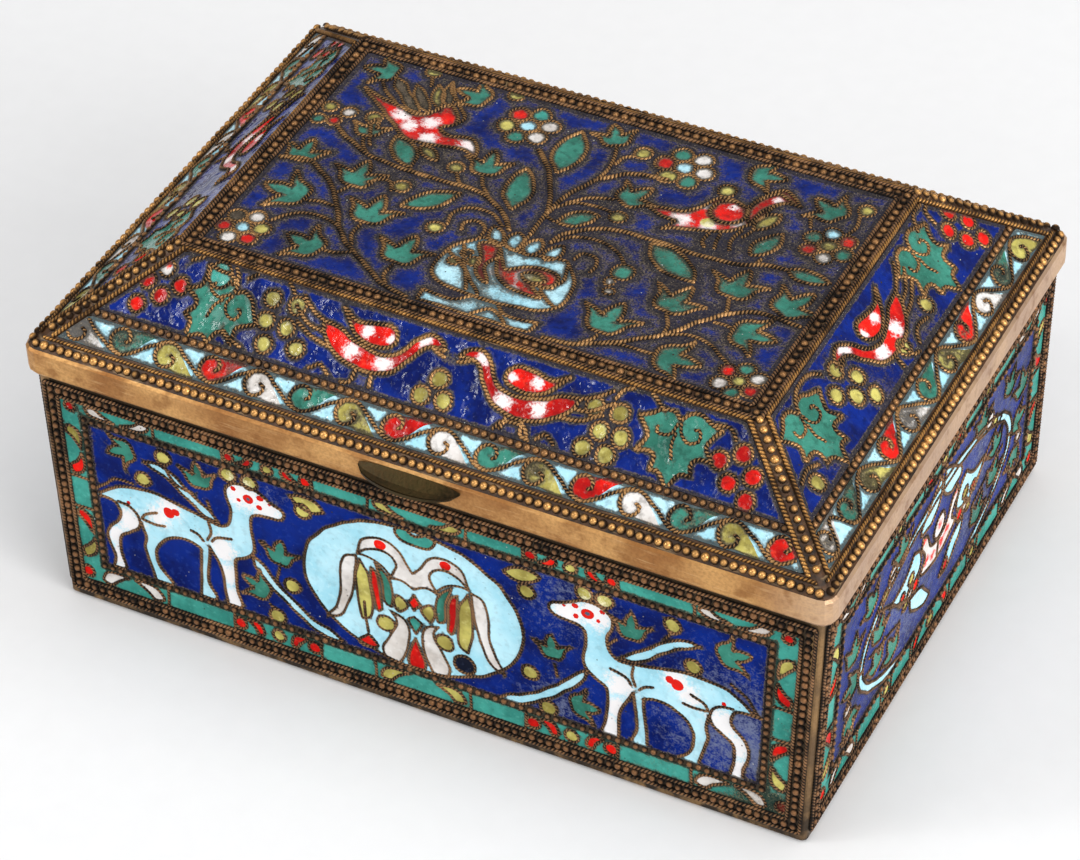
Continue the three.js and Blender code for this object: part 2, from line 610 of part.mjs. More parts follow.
const BAND_ROUND = 0.6;
const bandInside = shrink(LID_HALF, BAND_WALL);
const slopeDrop = SHELL / slopes.right.w.z;
const shareIn = (half, axis) => (SLOPE_FOOT_HALF[axis] - half) / (SLOPE_FOOT_HALF[axis] - PANEL_HALF[axis]);
const ceiling = PANEL_TOP - SHELL;
const inwards = (axis) => {
  const run = (SLOPE_FOOT_HALF[axis] - PANEL_HALF[axis]) / (PANEL_TOP - BAND_TOP);
  return PANEL_HALF[axis] + run * (SHELL - slopeDrop);
};
const ledge = BAND_TOP - slopeDrop + shareIn(bandInside[0], 0) * (PANEL_TOP - BAND_TOP);
let lidShell = solid(skin([
  ring(...PANEL_HALF, PANEL_TOP, 0.4),
  ring(...SLOPE_FOOT_HALF, BAND_TOP, BAND_CORNER - 0.4),
  ring(...LID_HALF, BAND_TOP - 0.4, BAND_CORNER),
  ring(...LID_HALF, BAND_BOTTOM + BAND_ROUND, BAND_CORNER),
  ring(...shrink(LID_HALF, BAND_ROUND * 0.7), BAND_BOTTOM, BAND_CORNER - 0.4),
  ring(...bandInside, BAND_BOTTOM, BAND_CORNER - BAND_WALL),
  ring(...bandInside, ledge, BAND_CORNER - BAND_WALL),
  ring(inwards(0), inwards(1), ceiling, 0.4),
], false));
for (const tray of cut.lid) lidShell = lidShell.subtract(tray);
addPart('lid_shell', fromSolid(lidShell), 'brass');

// --- thumb lip: a crescent scoop soldered to the front of the band --------------
const LIP_STEPS = 14;
const LIP_SECTION = [                 // share of the reach, height over the lip's tips
  [0, 0.9], [0.5, -0.55], [0.85, -0.75], [1, -0.55], [1, -1.1], [0.6, -2.0], [0, -2.4],
];
const LIP_TIP = 47.2;
const lipRows = [];
for (let i = 0; i <= LIP_STEPS; i += 1) {
  const share = -1 + (2 * i) / LIP_STEPS;
  const fullness = Math.sqrt(1 - 0.985 * share * share);
  lipRows.push(LIP_SECTION.map(([out, up]) => new THREE.Vector3(
    share * LIP_HALF,
    -LID_HALF[1] - SEAT - out * LIP_REACH * fullness,
    LIP_TIP + up * fullness,
  )));
}
addPart('thumb_lip', skin(lipRows, false), 'brass');

// --- hinge: rolled leaves and a pin along the back -------------------------------
const [hingeY, hingeZ] = HINGE_AXIS;
function block(x0, x1, y0, y1, z0, z1) {
  const geometry = new THREE.BoxGeometry(x1 - x0, y1 - y0, z1 - z0);
  return solid(geometry.translate((x0 + x1) / 2, (y0 + y1) / 2, (z0 + z1) / 2));
}
function rod(x0, x1, radius, sides) {
  const geometry = new THREE.CylinderGeometry(radius, radius, x1 - x0, sides);
  return geometry.rotateZ(Math.PI / 2).translate((x0 + x1) / 2, hingeY, hingeZ);
}
const hingeEnd = KNUCKLE_ENDS[KNUCKLE_ENDS.length - 1];
const BASE_LEAF = { y: [43.88, 43.88 + LEAF], z: [37.3, 39.3] };
const LID_LEAF = { y: [LID_HALF[1] + SEAT, LID_HALF[1] + SEAT + LEAF], z: [43.1, 47.6] };
const leaves = {
  base: block(-hingeEnd, hingeEnd, ...BASE_LEAF.y, ...BASE_LEAF.z),
  lid: block(-hingeEnd, hingeEnd, ...LID_LEAF.y, ...LID_LEAF.z),
};
for (let i = 0; i + 1 < KNUCKLE_ENDS.length; i += 1) {
  const x0 = KNUCKLE_ENDS[i] + (i > 0 ? KNUCKLE_GAP / 2 : 0);
  const x1 = KNUCKLE_ENDS[i + 1] - (i + 2 < KNUCKLE_ENDS.length ? KNUCKLE_GAP / 2 : 0);
  const owner = i % 2 === 0 ? 'base' : 'lid';
  const tongue = owner === 'base'
    ? block(x0, x1, ...BASE_LEAF.y, BASE_LEAF.z[1] - 0.5, hingeZ)
    : block(x0, x1, ...LID_LEAF.y, hingeZ + 0.9, LID_LEAF.z[0] + 0.5);
  leaves[owner] = leaves[owner].add(solid(rod(x0, x1, KNUCKLE_R, KNUCKLE_SIDES))).add(tongue);
}
const bore = solid(rod(-hingeEnd - 1, hingeEnd + 1, KNUCKLE_BORE, PIN_SIDES));
addPart('hinge_leaf_base', fromSolid(leaves.base.subtract(bore)), 'brass');
addPart('hinge_leaf_lid', fromSolid(leaves.lid.subtract(bore)), 'brass');
addPart('hinge_pin', rod(-hingeEnd, hingeEnd, PIN_R, PIN_SIDES), 'brass');

export default box;
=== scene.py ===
import math

import bpy
import numpy as np
from mathutils import Matrix, Vector
from mathutils.geometry import delaunay_2d_cdt
from mathutils.kdtree import KDTree


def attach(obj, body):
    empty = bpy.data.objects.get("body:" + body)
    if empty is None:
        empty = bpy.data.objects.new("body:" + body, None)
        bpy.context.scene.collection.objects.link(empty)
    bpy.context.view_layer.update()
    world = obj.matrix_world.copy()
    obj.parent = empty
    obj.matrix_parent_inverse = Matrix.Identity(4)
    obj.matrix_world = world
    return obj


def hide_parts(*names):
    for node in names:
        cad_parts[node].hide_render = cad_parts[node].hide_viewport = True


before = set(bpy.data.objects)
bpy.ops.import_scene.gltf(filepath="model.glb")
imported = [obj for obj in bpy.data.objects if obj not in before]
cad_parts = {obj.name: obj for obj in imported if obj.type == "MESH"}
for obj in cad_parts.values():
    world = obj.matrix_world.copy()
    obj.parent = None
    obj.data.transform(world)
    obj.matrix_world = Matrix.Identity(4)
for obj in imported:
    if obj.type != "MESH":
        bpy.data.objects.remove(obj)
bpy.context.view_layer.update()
scene = bpy.context.scene
scene.view_settings.view_transform = "Standard"

# ---- Camera ---------------------------------------------------------------------
# A long lens 0.6 m away looks down on the lid, the front and the right end.
azimuth, elevation, roll = (math.radians(a) for a in (28.12, 41.22, -2.05))
camera_data = bpy.data.cameras.new("camera")
camera_data.lens = 131.49
camera_data.sensor_width = 36
camera = bpy.data.objects.new("camera", camera_data)
camera.matrix_world = (
    Matrix.Translation((0.21217, -0.40232, 0.41896))
    @ Matrix.Rotation(azimuth, 4, "Z")
    @ Matrix.Rotation(math.pi / 2 - elevation, 4, "X")
    @ Matrix.Rotation(roll, 4, "Z")
)
scene.collection.objects.link(camera)
scene.camera = camera


# ---- Floor ----------------------------------------------------------------------
# A wide sheet of smooth white card, with the faint unevenness of paper.
def srgb(red, green, blue):
    """A colour as it looks on a screen, in the shader's own linear units."""
    levels = [c / 255 for c in (red, green, blue)]
    return (*[c / 12.92 if c < 0.04 else ((c + 0.055) / 1.055) ** 2.4 for c in levels], 1)


class Finish:
    """A material put together node by node, with its patterns sized in millimetres."""

    def __init__(self, name, metallic=0.0):
        self.material = bpy.data.materials.new(name)
        self.material.use_nodes = True
        self.tree = self.material.node_tree
        self.shader = self.tree.nodes["Principled BSDF"]
        self.shader.inputs["Metallic"].default_value = metallic
        self.place = self.tree.nodes.new("ShaderNodeTexCoord").outputs["Object"]

    def node(self, kind, inputs, output=0, **settings):
        made = self.tree.nodes.new("ShaderNode" + kind)
        for name, value in settings.items():
            setattr(made, name, value)
        for socket, value in inputs.items():
            self.feed(made.inputs[socket], value)
        return made.outputs[output]

    def feed(self, socket, value):
        if isinstance(value, bpy.types.NodeSocket):
            self.tree.links.new(value, socket)
        else:
            socket.default_value = value

    def noise(self, size, detail=3):
        """Soft mottling with features of that size."""
        inputs = {"Vector": self.place, "Scale": 1000 / size, "Detail": detail}
        return self.node("TexNoise", inputs)

    def specks(self, size, width):
        """Small round spots, one to each cell of that size."""
        inputs = {"Vector": self.place, "Scale": 1000 / size}
        return self.fade(self.node("TexVoronoi", inputs), width, width * 0.6)

    def fade(self, value, start, end, low=0.0, high=1.0):
        """Goes smoothly from low to high as the value goes from start to end."""
        inputs = {"Value": value, "From Min": start, "From Max": end, "To Min": low, "To Max": high}
        return self.node("MapRange", inputs, interpolation_type="SMOOTHSTEP")

    def math(self, operation, first, second):
        return self.node("Math", {0: first, 1: second}, operation=operation)

    def blend(self, factor, first, second):
        inputs = {0: factor, 6: first, 7: second}
        return self.node("Mix", inputs, 2, data_type="RGBA")

    def value_of(self, name):
        """A value that the mesh carries at each of its points."""
        return self.node("Attribute", {}, 2, attribute_name=name)

    def surface(self, colour, roughness, height=None, depth=0.05):
        """Ends the material; depth is the relief's height in millimetres."""
        self.feed(self.shader.inputs["Base Color"], colour)
        self.feed(self.shader.inputs["Roughness"], roughness)
        if height is not None:
            inputs = {"Height": height, "Distance": depth / 1000}
            self.feed(self.shader.inputs["Normal"], self.node("Bump", inputs))
        return self.material


def card():
    finish = Finish("white_card")
    fibre = finish.noise(4)
    colour = finish.blend(fibre, srgb(233, 233, 233), srgb(237, 237, 237))
    finish.shader.inputs["Specular IOR Level"].default_value = 0.2
    return finish.surface(colour, finish.fade(fibre, 0, 1, 0.7, 0.9))


FLOOR_HALF = 3.0
floor_mesh = bpy.data.meshes.new("floor")
floor_mesh.from_pydata(
    [(x * FLOOR_HALF, y * FLOOR_HALF, 0) for x, y in ((-1, -1), (1, -1), (1, 1), (-1, 1))],
    [],
    [(0, 1, 2, 3)],
)
floor_mesh.materials.append(card())
floor = bpy.data.objects.new("floor", floor_mesh)
scene.collection.objects.link(floor)


# ---- Light ----------------------------------------------------------------------
# Soft studio light: large panels over the front left, overhead, at the right and low
# in front and beside, a small one that glints on the slope of the lid, and a pale room.
def light(name, place, size, power):
    """A square light panel that faces the middle of the box."""
    data = bpy.data.lights.new(name, "AREA")
    data.size = size
    data.energy = power
    lamp = bpy.data.objects.new(name, data)
    aim = Vector((0, 0, 0.03)) - Vector(place)
    lamp.matrix_world = Matrix.Translation(place) @ aim.to_track_quat("-Z", "Y").to_matrix().to_4x4()
    scene.collection.objects.link(lamp)


light("key", (-1.1, -0.9, 0.9), 0.8, 6.2)
light("overhead", (0.3, 0.1, 1.6), 1.5, 11.5)
light("fill", (1.3, -0.6, 0.8), 0.9, 10)
light("front", (0.5, -1.5, 0.55), 0.9, 3.5)
light("right", (1.3, -0.1, 0.35), 0.9, 10)
light("glint", (-0.79, -0.58, 1.0), 0.15, 1.5)
room = bpy.data.worlds.new("room")
room.use_nodes = True
room.node_tree.nodes["Background"].inputs["Color"].default_value = srgb(250, 250, 252)
room.node_tree.nodes["Background"].inputs["Strength"].default_value = 0.4
scene.world = room


# ---- Base: the metal tray ---------------------------------------------------------
# Four leaning walls and a bottom of sheet brass. Below the beading a narrow plain edge
# is rubbed bright, the metal between the beading is dark, and the inside stays plain.
END_SKIN = (0.0607, 0.0609)     # metres from the middle where the outer skin of an end begins
FRONT_SKIN = (0.0424, 0.0426)   # the same for the front and the back
END_STRIP = (0.0612, 0.0617)    # where the plain upright strip at a corner begins
FRONT_STRIP = (0.0429, 0.0434)
FOOT_EDGE = (0.0013, 0.0017)    # height of the plain edge at the foot
LOW_DARK_HEIGHT = (0.0005, 0.013)   # where the dark at the foot fades out


def worn_sheet(finish, bright, dull, scratch):
    """Sheet metal with cloudy tarnish, fine grain and small scratches."""
    cloud = finish.fade(finish.noise(11), 0.35, 0.65)
    grain = finish.noise(0.5, 5)
    colour = finish.blend(cloud, bright, dull)
    colour = finish.blend(finish.fade(grain, 0.3, 0.8, 0, 0.35), colour, scratch)
    return colour, grain


def tray_metal():
    finish = Finish("tray_brass", metallic=0.75)
    colour, grain = worn_sheet(finish, srgb(158, 124, 82), srgb(112, 88, 62), srgb(60, 48, 36))
    across, along, up = (finish.node("SeparateXYZ", {"Vector": finish.place}, axis) for axis in range(3))
    across = finish.math("ABSOLUTE", across, 0)
    along = finish.math("ABSOLUTE", along, 0)
    grime = finish.blend(finish.noise(2), srgb(38, 30, 22), srgb(84, 68, 48))
    outside = finish.math("MAXIMUM", finish.fade(across, *END_SKIN), finish.fade(along, *FRONT_SKIN))
    corner = finish.math("MULTIPLY", finish.fade(across, *END_STRIP), finish.fade(along, *FRONT_STRIP))
    beaded = finish.math("SUBTRACT", outside, corner)
    beaded = finish.math("MULTIPLY", finish.fade(up, *FOOT_EDGE), beaded)
    colour = finish.blend(beaded, colour, grime)
    # Darker towards the foot, in patches.
    patches = finish.fade(finish.noise(2.2, 5), 0.35, 0.6)
    low_darkening = finish.math("MULTIPLY", finish.fade(up, *LOW_DARK_HEIGHT, 1, 0), patches)
    colour = finish.blend(low_darkening, colour, srgb(50, 42, 34))
    return finish.surface(colour, finish.fade(grain, 0.2, 0.8, 0.38, 0.62), grain, 0.04)


def dress(node, material):
    """Gives a solid its finish in place of the plain one."""
    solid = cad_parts[node]
    solid.data.materials.clear()
    solid.data.materials.append(material)


dress("base_shell", tray_metal())


# ---- Faces of the box -------------------------------------------------------------
# Every face is laid out flat, in millimetres: u to the right and v upwards as seen from
# outside, from the middle of its foot, and a lift off the metal.
class Face:
    """The flat outer face on one side, read from a solid that lies on it."""

    def __init__(self, node, facing, foot=None):
        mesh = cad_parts[node].data
        outer = [p for p in mesh.polygons if p.normal.dot(Vector(facing)) > 0.6]
        w = sum((p.normal * p.area for p in outer), Vector()).normalized()
        u = Vector((1, 0, 0)) if w.z > 0.99 else Vector((0, 0, 1)).cross(w).normalized()
        depth = w.dot(mesh.vertices[outer[0].vertices[0]].co)
        if foot is None:
            origin = Vector((0, 0, depth))
        else:
            out = Vector((w.x, w.y, 0)).normalized()
            origin = out * ((depth - w.z * foot / 1000) / w.dot(out)) + Vector((0, 0, foot / 1000))
        self.frame = np.array([u, w.cross(u), w])
        self.origin = np.array(origin)
        self.facing = facing

    def at(self, flat, lift):
        """Places in space, in metres, of flat points and their lifts."""
        solid = np.column_stack([flat, np.broadcast_to(lift, len(flat))])
        return self.origin + solid @ self.frame / 1000

    def corners(self, node):
        """The outer four-sided outline of a solid on this face, from its lower left corner."""
        co = np.array([v.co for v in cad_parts[node].data.vertices])
        flat = (co - self.origin) @ self.frame.T * 1000
        flat = flat[flat[:, 2] > flat[:, 2].max() - 0.5][:, :2]
        turns = ((-1, -1), (1, -1), (1, 1), (-1, 1))
        return np.array([flat[np.argmax(flat @ np.array(turn))] for turn in turns])


def inset(outline, distance):
    """A four-sided outline with every side moved inwards."""
    along = np.roll(outline, -1, axis=0) - outline
    along /= np.linalg.norm(along, axis=1)[:, None]
    moved = outline + distance * np.stack([-along[:, 1], along[:, 0]], axis=1)
    result = []
    for i in range(4):
        before = i - 1
        cross = along[before, 0] * along[i, 1] - along[before, 1] * along[i, 0]
        gap = moved[i] - moved[before]
        run = (gap[0] * along[i, 1] - gap[1] * along[i, 0]) / cross
        result.append(moved[before] + run * along[before])
    return np.array(result)


FACING = {"front": (0, -1, 0), "right": (1, 0, 0), "back": (0, 1, 0), "left": (-1, 0, 0)}
walls = {side: Face(f"base_field_enamel_{side}", n, 0) for side, n in FACING.items()}


# ---- Twisted wire -----------------------------------------------------------------
# The pictures are drawn in gilt wire twisted from two strands, and soldered down. The
# strands stand out in turn along it; the grooves between them are coloured dark with old dirt and painted
# shade.
WIRE_RADIUS = 0.36
WIRE_SIDES = 5
TWIST = 0.6     # how often the twist repeats along a wire


def bend(points, sharp=(), closed=False):
    """A smooth line through the points, broken at the sharp ones."""
    points = np.array(points, float)
    sharp = list(sharp)
    if closed and sharp:
        points = np.roll(points, -sharp[0], axis=0)
        points = np.vstack([points, points[:1]])
        sharp = [s - sharp[0] for s in sharp]
    if closed and not sharp:
        runs = [np.vstack([points[-1:], points, points[:2]])]
    else:
        cuts = sorted({0, *sharp, len(points) - 1})
        runs = []
        for start, end in zip(cuts, cuts[1:]):
            run = points[start:end + 1]
            runs.append(np.vstack([2 * run[0] - run[1], run, 2 * run[-1] - run[-2]]))
    line = []
    for run in runs:
        for a, b, c, d in zip(run, run[1:], run[2:], run[3:]):
            steps = max(2, round(float(np.linalg.norm(c - b)) / 0.4))
            t = (np.arange(steps) / steps)[:, None]
            line.append(b + 0.5 * t * ((c - a) + t * (
                (2 * a - 5 * b + 4 * c - d) + t * (3 * b - a - 3 * c + d))))
    if not (closed and not sharp):
        line.append(points[-1:])
    return np.vstack(line)


def evenly(line, step):
    """The same line with points the given distance apart."""
    reach = np.concatenate([[0], np.cumsum(np.linalg.norm(np.diff(line, axis=0), axis=1))])
    count = max(3, round(reach[-1] / step) + 1)
    places = np.linspace(0, reach[-1], count)
    return np.stack([np.interp(places, reach, line[:, k]) for k in range(line.shape[1])], axis=1)


def by_hand(flat):
    """The small wandering of wire bent by hand, the same for all that meets at one place."""
    u, v = flat[:, 0], flat[:, 1]
    shift = [np.sin(0.9 * v + 0.4 * u) + np.sin(2.1 * u - 0.7), np.sin(0.8 * u - 0.5 * v) + np.sin(1.9 * v)]
    return flat + 0.07 * np.stack(shift, axis=1)


class Heap:
    """Points and faces of many small bodies, gathered into one piece."""

    def __init__(self):
        self.points, self.faces, self.values, self.count = [], {}, {}, 0

    def add(self, points, faces, **values):
        for corners in faces:
            self.faces.setdefault(corners.shape[1], []).append(corners + self.count)
        for name, value in values.items():
            self.values.setdefault(name, []).append(np.broadcast_to(value, len(points)))
        self.points.append(points)
        self.count += len(points)

    def make(self, name, material, slot, body, replaced=()):
        """The piece itself: smooth, in its finish, riding on its body."""
        mesh = bpy.data.meshes.new(name)
        points = np.concatenate(self.points).astype(np.float32)
        faces = [np.concatenate(found) for found in self.faces.values()]
        corners = np.concatenate([f.ravel() for f in faces]).astype(np.int32)
        sizes = np.concatenate([np.full(len(f), f.shape[1]) for f in faces])
        starts = np.concatenate([[0], np.cumsum(sizes)[:-1]]).astype(np.int32)
        mesh.vertices.add(len(points))
        mesh.vertices.foreach_set("co", points.ravel())
        mesh.loops.add(len(corners))
        mesh.loops.foreach_set("vertex_index", corners)
        mesh.polygons.add(len(sizes))
        mesh.polygons.foreach_set("loop_start", starts)
        mesh.polygons.foreach_set("use_smooth", np.ones(len(sizes), bool))
        mesh.update(calc_edges=True)
        mesh.set_sharp_from_angle(angle=math.radians(72))
        for value, parts in self.values.items():
            carried = mesh.attributes.new(value, "FLOAT", "POINT")
            carried.data.foreach_set("value", np.concatenate(parts).astype(np.float32))
        mesh.materials.append(material)
        made = bpy.data.objects.new(name, mesh)
        scene.collection.objects.link(made)
        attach(made, body)
        if replaced:
            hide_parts(*replaced)
        return made


def twist(heap, place, line, lift, radius=WIRE_RADIUS, section=TWIST / 3):
    """Adds one wire along a line; place turns flat points and lifts into space."""
    line = evenly(line, section)
    along = np.gradient(line, axis=0)
    along /= np.linalg.norm(along, axis=1)[:, None] + 1e-9
    across = np.stack([along[:, 1], -along[:, 0]], axis=1)
    count = len(line)
    ring = np.arange(WIRE_SIDES)
    angle = np.radians(-20 + 220 / (WIRE_SIDES - 1) * ring)
    reach = np.linalg.norm(np.diff(line, axis=0), axis=1).sum() * np.arange(count) / (count - 1)
    strand = 0.5 + 0.5 * np.cos(2 * angle - 2 * math.pi * reach[:, None] / TWIST)
    standing = (0.76 + 0.38 * strand) * radius
    standing[[0, -1]] *= 0.6
    flat = line[:, None] + (standing * np.cos(angle))[:, :, None] * across[:, None]
    height = lift + standing * np.sin(angle)
    start = np.arange(count - 1)[:, None] * WIRE_SIDES
    a, b = start + ring, start + (ring + 1) % WIRE_SIDES
    sides = np.stack([a, a + WIRE_SIDES, b + WIRE_SIDES, b], axis=2).reshape(-1, 4)
    ends = np.array([ring, (count - 1) * WIRE_SIDES + ring[::-1]])
    # Brighter where a strand stands out and towards the top of the wire, darker in the grooves and at its
    # foot: rubbed wear and dirt, with painted light and shade.
    rub = (0.2 + 0.8 * strand) * np.clip(0.4 + 0.6 * np.sin(angle), 0, 1)
    heap.add(place(flat.reshape(-1, 2), height.ravel()), [sides, ends], rub=rub.ravel())


def wire_metal(name, crest, foot, roughness):
    """Gilt wire: bright on its crest, rubbed and with painted light; brown at its foot, with old dirt and
    painted shade.
    """
    finish = Finish(name, metallic=0.7)
    wear_and_shade = finish.math("ADD", finish.value_of("rub"), finish.fade(finish.noise(2.4), 0.25, 0.75, -0.22, 0.22))
    wear_and_shade = finish.math("ADD", wear_and_shade, finish.fade(finish.noise(14), 0.3, 0.7, -0.12, 0.12))
    grain = finish.noise(0.35, 4)
    gold = finish.blend(finish.fade(grain, 0.35, 0.75), crest, foot)
    colour = finish.blend(finish.fade(wear_and_shade, 0.25, 0.95), foot, finish.blend(0.75, gold, crest))
    return finish.surface(colour, finish.fade(wear_and_shade, 0.3, 0.95, 0.8, roughness), grain, 0.03)


# ---- Enamel -----------------------------------------------------------------------
# Coloured glass, melted between the wires and ground back. It stands a little higher
# where it clings to a wire, and is pitted; dirt lies along the wires, and a dark line runs right beside each
# wire.
ENAMEL_DEPTH = 0.55
GLASSES = {
    # The cobalt's pale colour shows only in the ground's pale patches; on the right end these are a painted
    # reflection.
    "cobalt": ((4, 36, 124), (2, 18, 84), (30, 58, 138), (104, 112, 142)),
    "turquoise": ((186, 230, 242), (160, 216, 232), (202, 238, 247), (238, 236, 236)),
    "teal": ((68, 158, 144), (50, 130, 118), (94, 180, 164), (150, 200, 190)),
    "green": ((60, 134, 116), (44, 104, 88), (84, 156, 138), (110, 200, 190)),
    "red": ((238, 26, 14), (168, 14, 14), (244, 84, 58), (246, 234, 232)),
    "scarlet": ((238, 26, 14), (168, 14, 14), (244, 84, 58), (214, 30, 20)),
    "white": ((230, 226, 222), (200, 192, 184), (240, 238, 236), (236, 40, 24)),
    "yellow": ((206, 196, 106), (140, 128, 62), (226, 218, 142), (238, 232, 190)),
    "night": ((24, 34, 64), (12, 18, 36), (48, 58, 88), (80, 90, 110)),
    "umber": ((96, 84, 70), (62, 53, 42), (130, 116, 98), (170, 160, 146)),
}


def enamel(name, body, deep, light, cloud, ior, waves, mottling, gloss):
    """Glossy glass with clouds, pits and grains, a film of dirt near the wires, and a dark line right beside
    them.
    """
    finish = Finish(name)
    drift = finish.noise(6)
    grain = finish.noise(0.8, 5)
    colour = finish.blend(finish.fade(drift, 0.35, 0.65), srgb(*body), srgb(*deep))
    colour = finish.blend(finish.fade(grain, 0.5, 0.8, 0, 0.5), colour, srgb(*light))
    spots = finish.fade(finish.noise(1.1, 5), 0.48, 0.7, 0, mottling)
    colour = finish.blend(spots, colour, srgb(*[c * 0.62 for c in deep]))
    drifts = finish.fade(finish.noise(0.9, 4), 0.3, 0.7, -0.16, 0.16)
    veil = finish.math("ADD", finish.value_of("cloud"), drifts)
    veil = finish.math("ADD", veil, finish.fade(finish.noise(0.3, 3), 0.3, 0.7, -0.14, 0.14))
    # Paler where the cloud value is high: clouds in the cells, and the ground's pale patches, which on the
    # right end are a painted reflection.
    colour = finish.blend(finish.fade(veil, 0.24, 0.8), colour, srgb(*cloud))
    patches = finish.fade(finish.noise(0.9, 5), 0.25, 0.75, -0.17, 0.17)
    dirt = finish.math("ADD", finish.value_of("film"), patches)
    film = finish.blend(finish.fade(finish.noise(0.32, 3), 0.4, 0.6), srgb(100, 88, 66), srgb(26, 24, 22))
    # Where the value runs highest, right beside the wires, the film turns almost black.
    film = finish.blend(finish.fade(finish.value_of("film"), 0.7, 1.1, 0, 0.75), film, srgb(26, 22, 18))
    dust = finish.math("MULTIPLY", finish.specks(0.42, 0.22), finish.fade(dirt, 0.3, 0.8, 0, 0.7))
    film = finish.blend(dust, film, srgb(150, 136, 106))
    crumbs = finish.math("ADD", dirt, finish.fade(finish.noise(0.3, 3), 0.3, 0.7, -0.12, 0.12))
    colour = finish.blend(finish.fade(crumbs, 0.25, 0.95, 0, 0.9), colour, film)
    pinholes = finish.math(
        "MULTIPLY", finish.specks(1.9, 0.1), finish.fade(finish.noise(4.3), 0.45, 0.6, 0.2, 1))
    colour = finish.blend(pinholes, colour, srgb(52, 44, 36))
    pits = finish.specks(1.5, 0.09)
    fired = finish.fade(finish.noise(3.1), 0.5, 0.62)
    colour = finish.blend(finish.math("MULTIPLY", pits, fired), colour, srgb(190, 190, 184))
    roughness = finish.math(
        "ADD", finish.fade(dirt, 0.2, 1.0, gloss, 0.6), finish.fade(grain, 0.4, 0.8, 0, gloss))
    swell = finish.math("MULTIPLY", finish.noise(3.4), waves)
    relief = finish.math("SUBTRACT", finish.math("ADD", swell, finish.math("MULTIPLY", grain, 0.4)), pits)
    finish.shader.inputs["IOR"].default_value = ior
    return finish.surface(colour, roughness, relief, 0.1)


# The walls are rubbed duller than the lid.
WALL_GLAZE = {"ior": 1.12, "waves": 1.2, "mottling": 0.2, "gloss": 0.18}
LID_GLAZE = {"ior": 1.34, "waves": 5.2, "mottling": 0.5, "gloss": 0.07}
glass = {}
for colour, mixed in GLASSES.items():
    glass["box", colour] = enamel(f"wall_enamel_{colour}", *mixed, **WALL_GLAZE)
    glass["lid", colour] = enamel(f"lid_enamel_{colour}", *mixed, **LID_GLAZE)


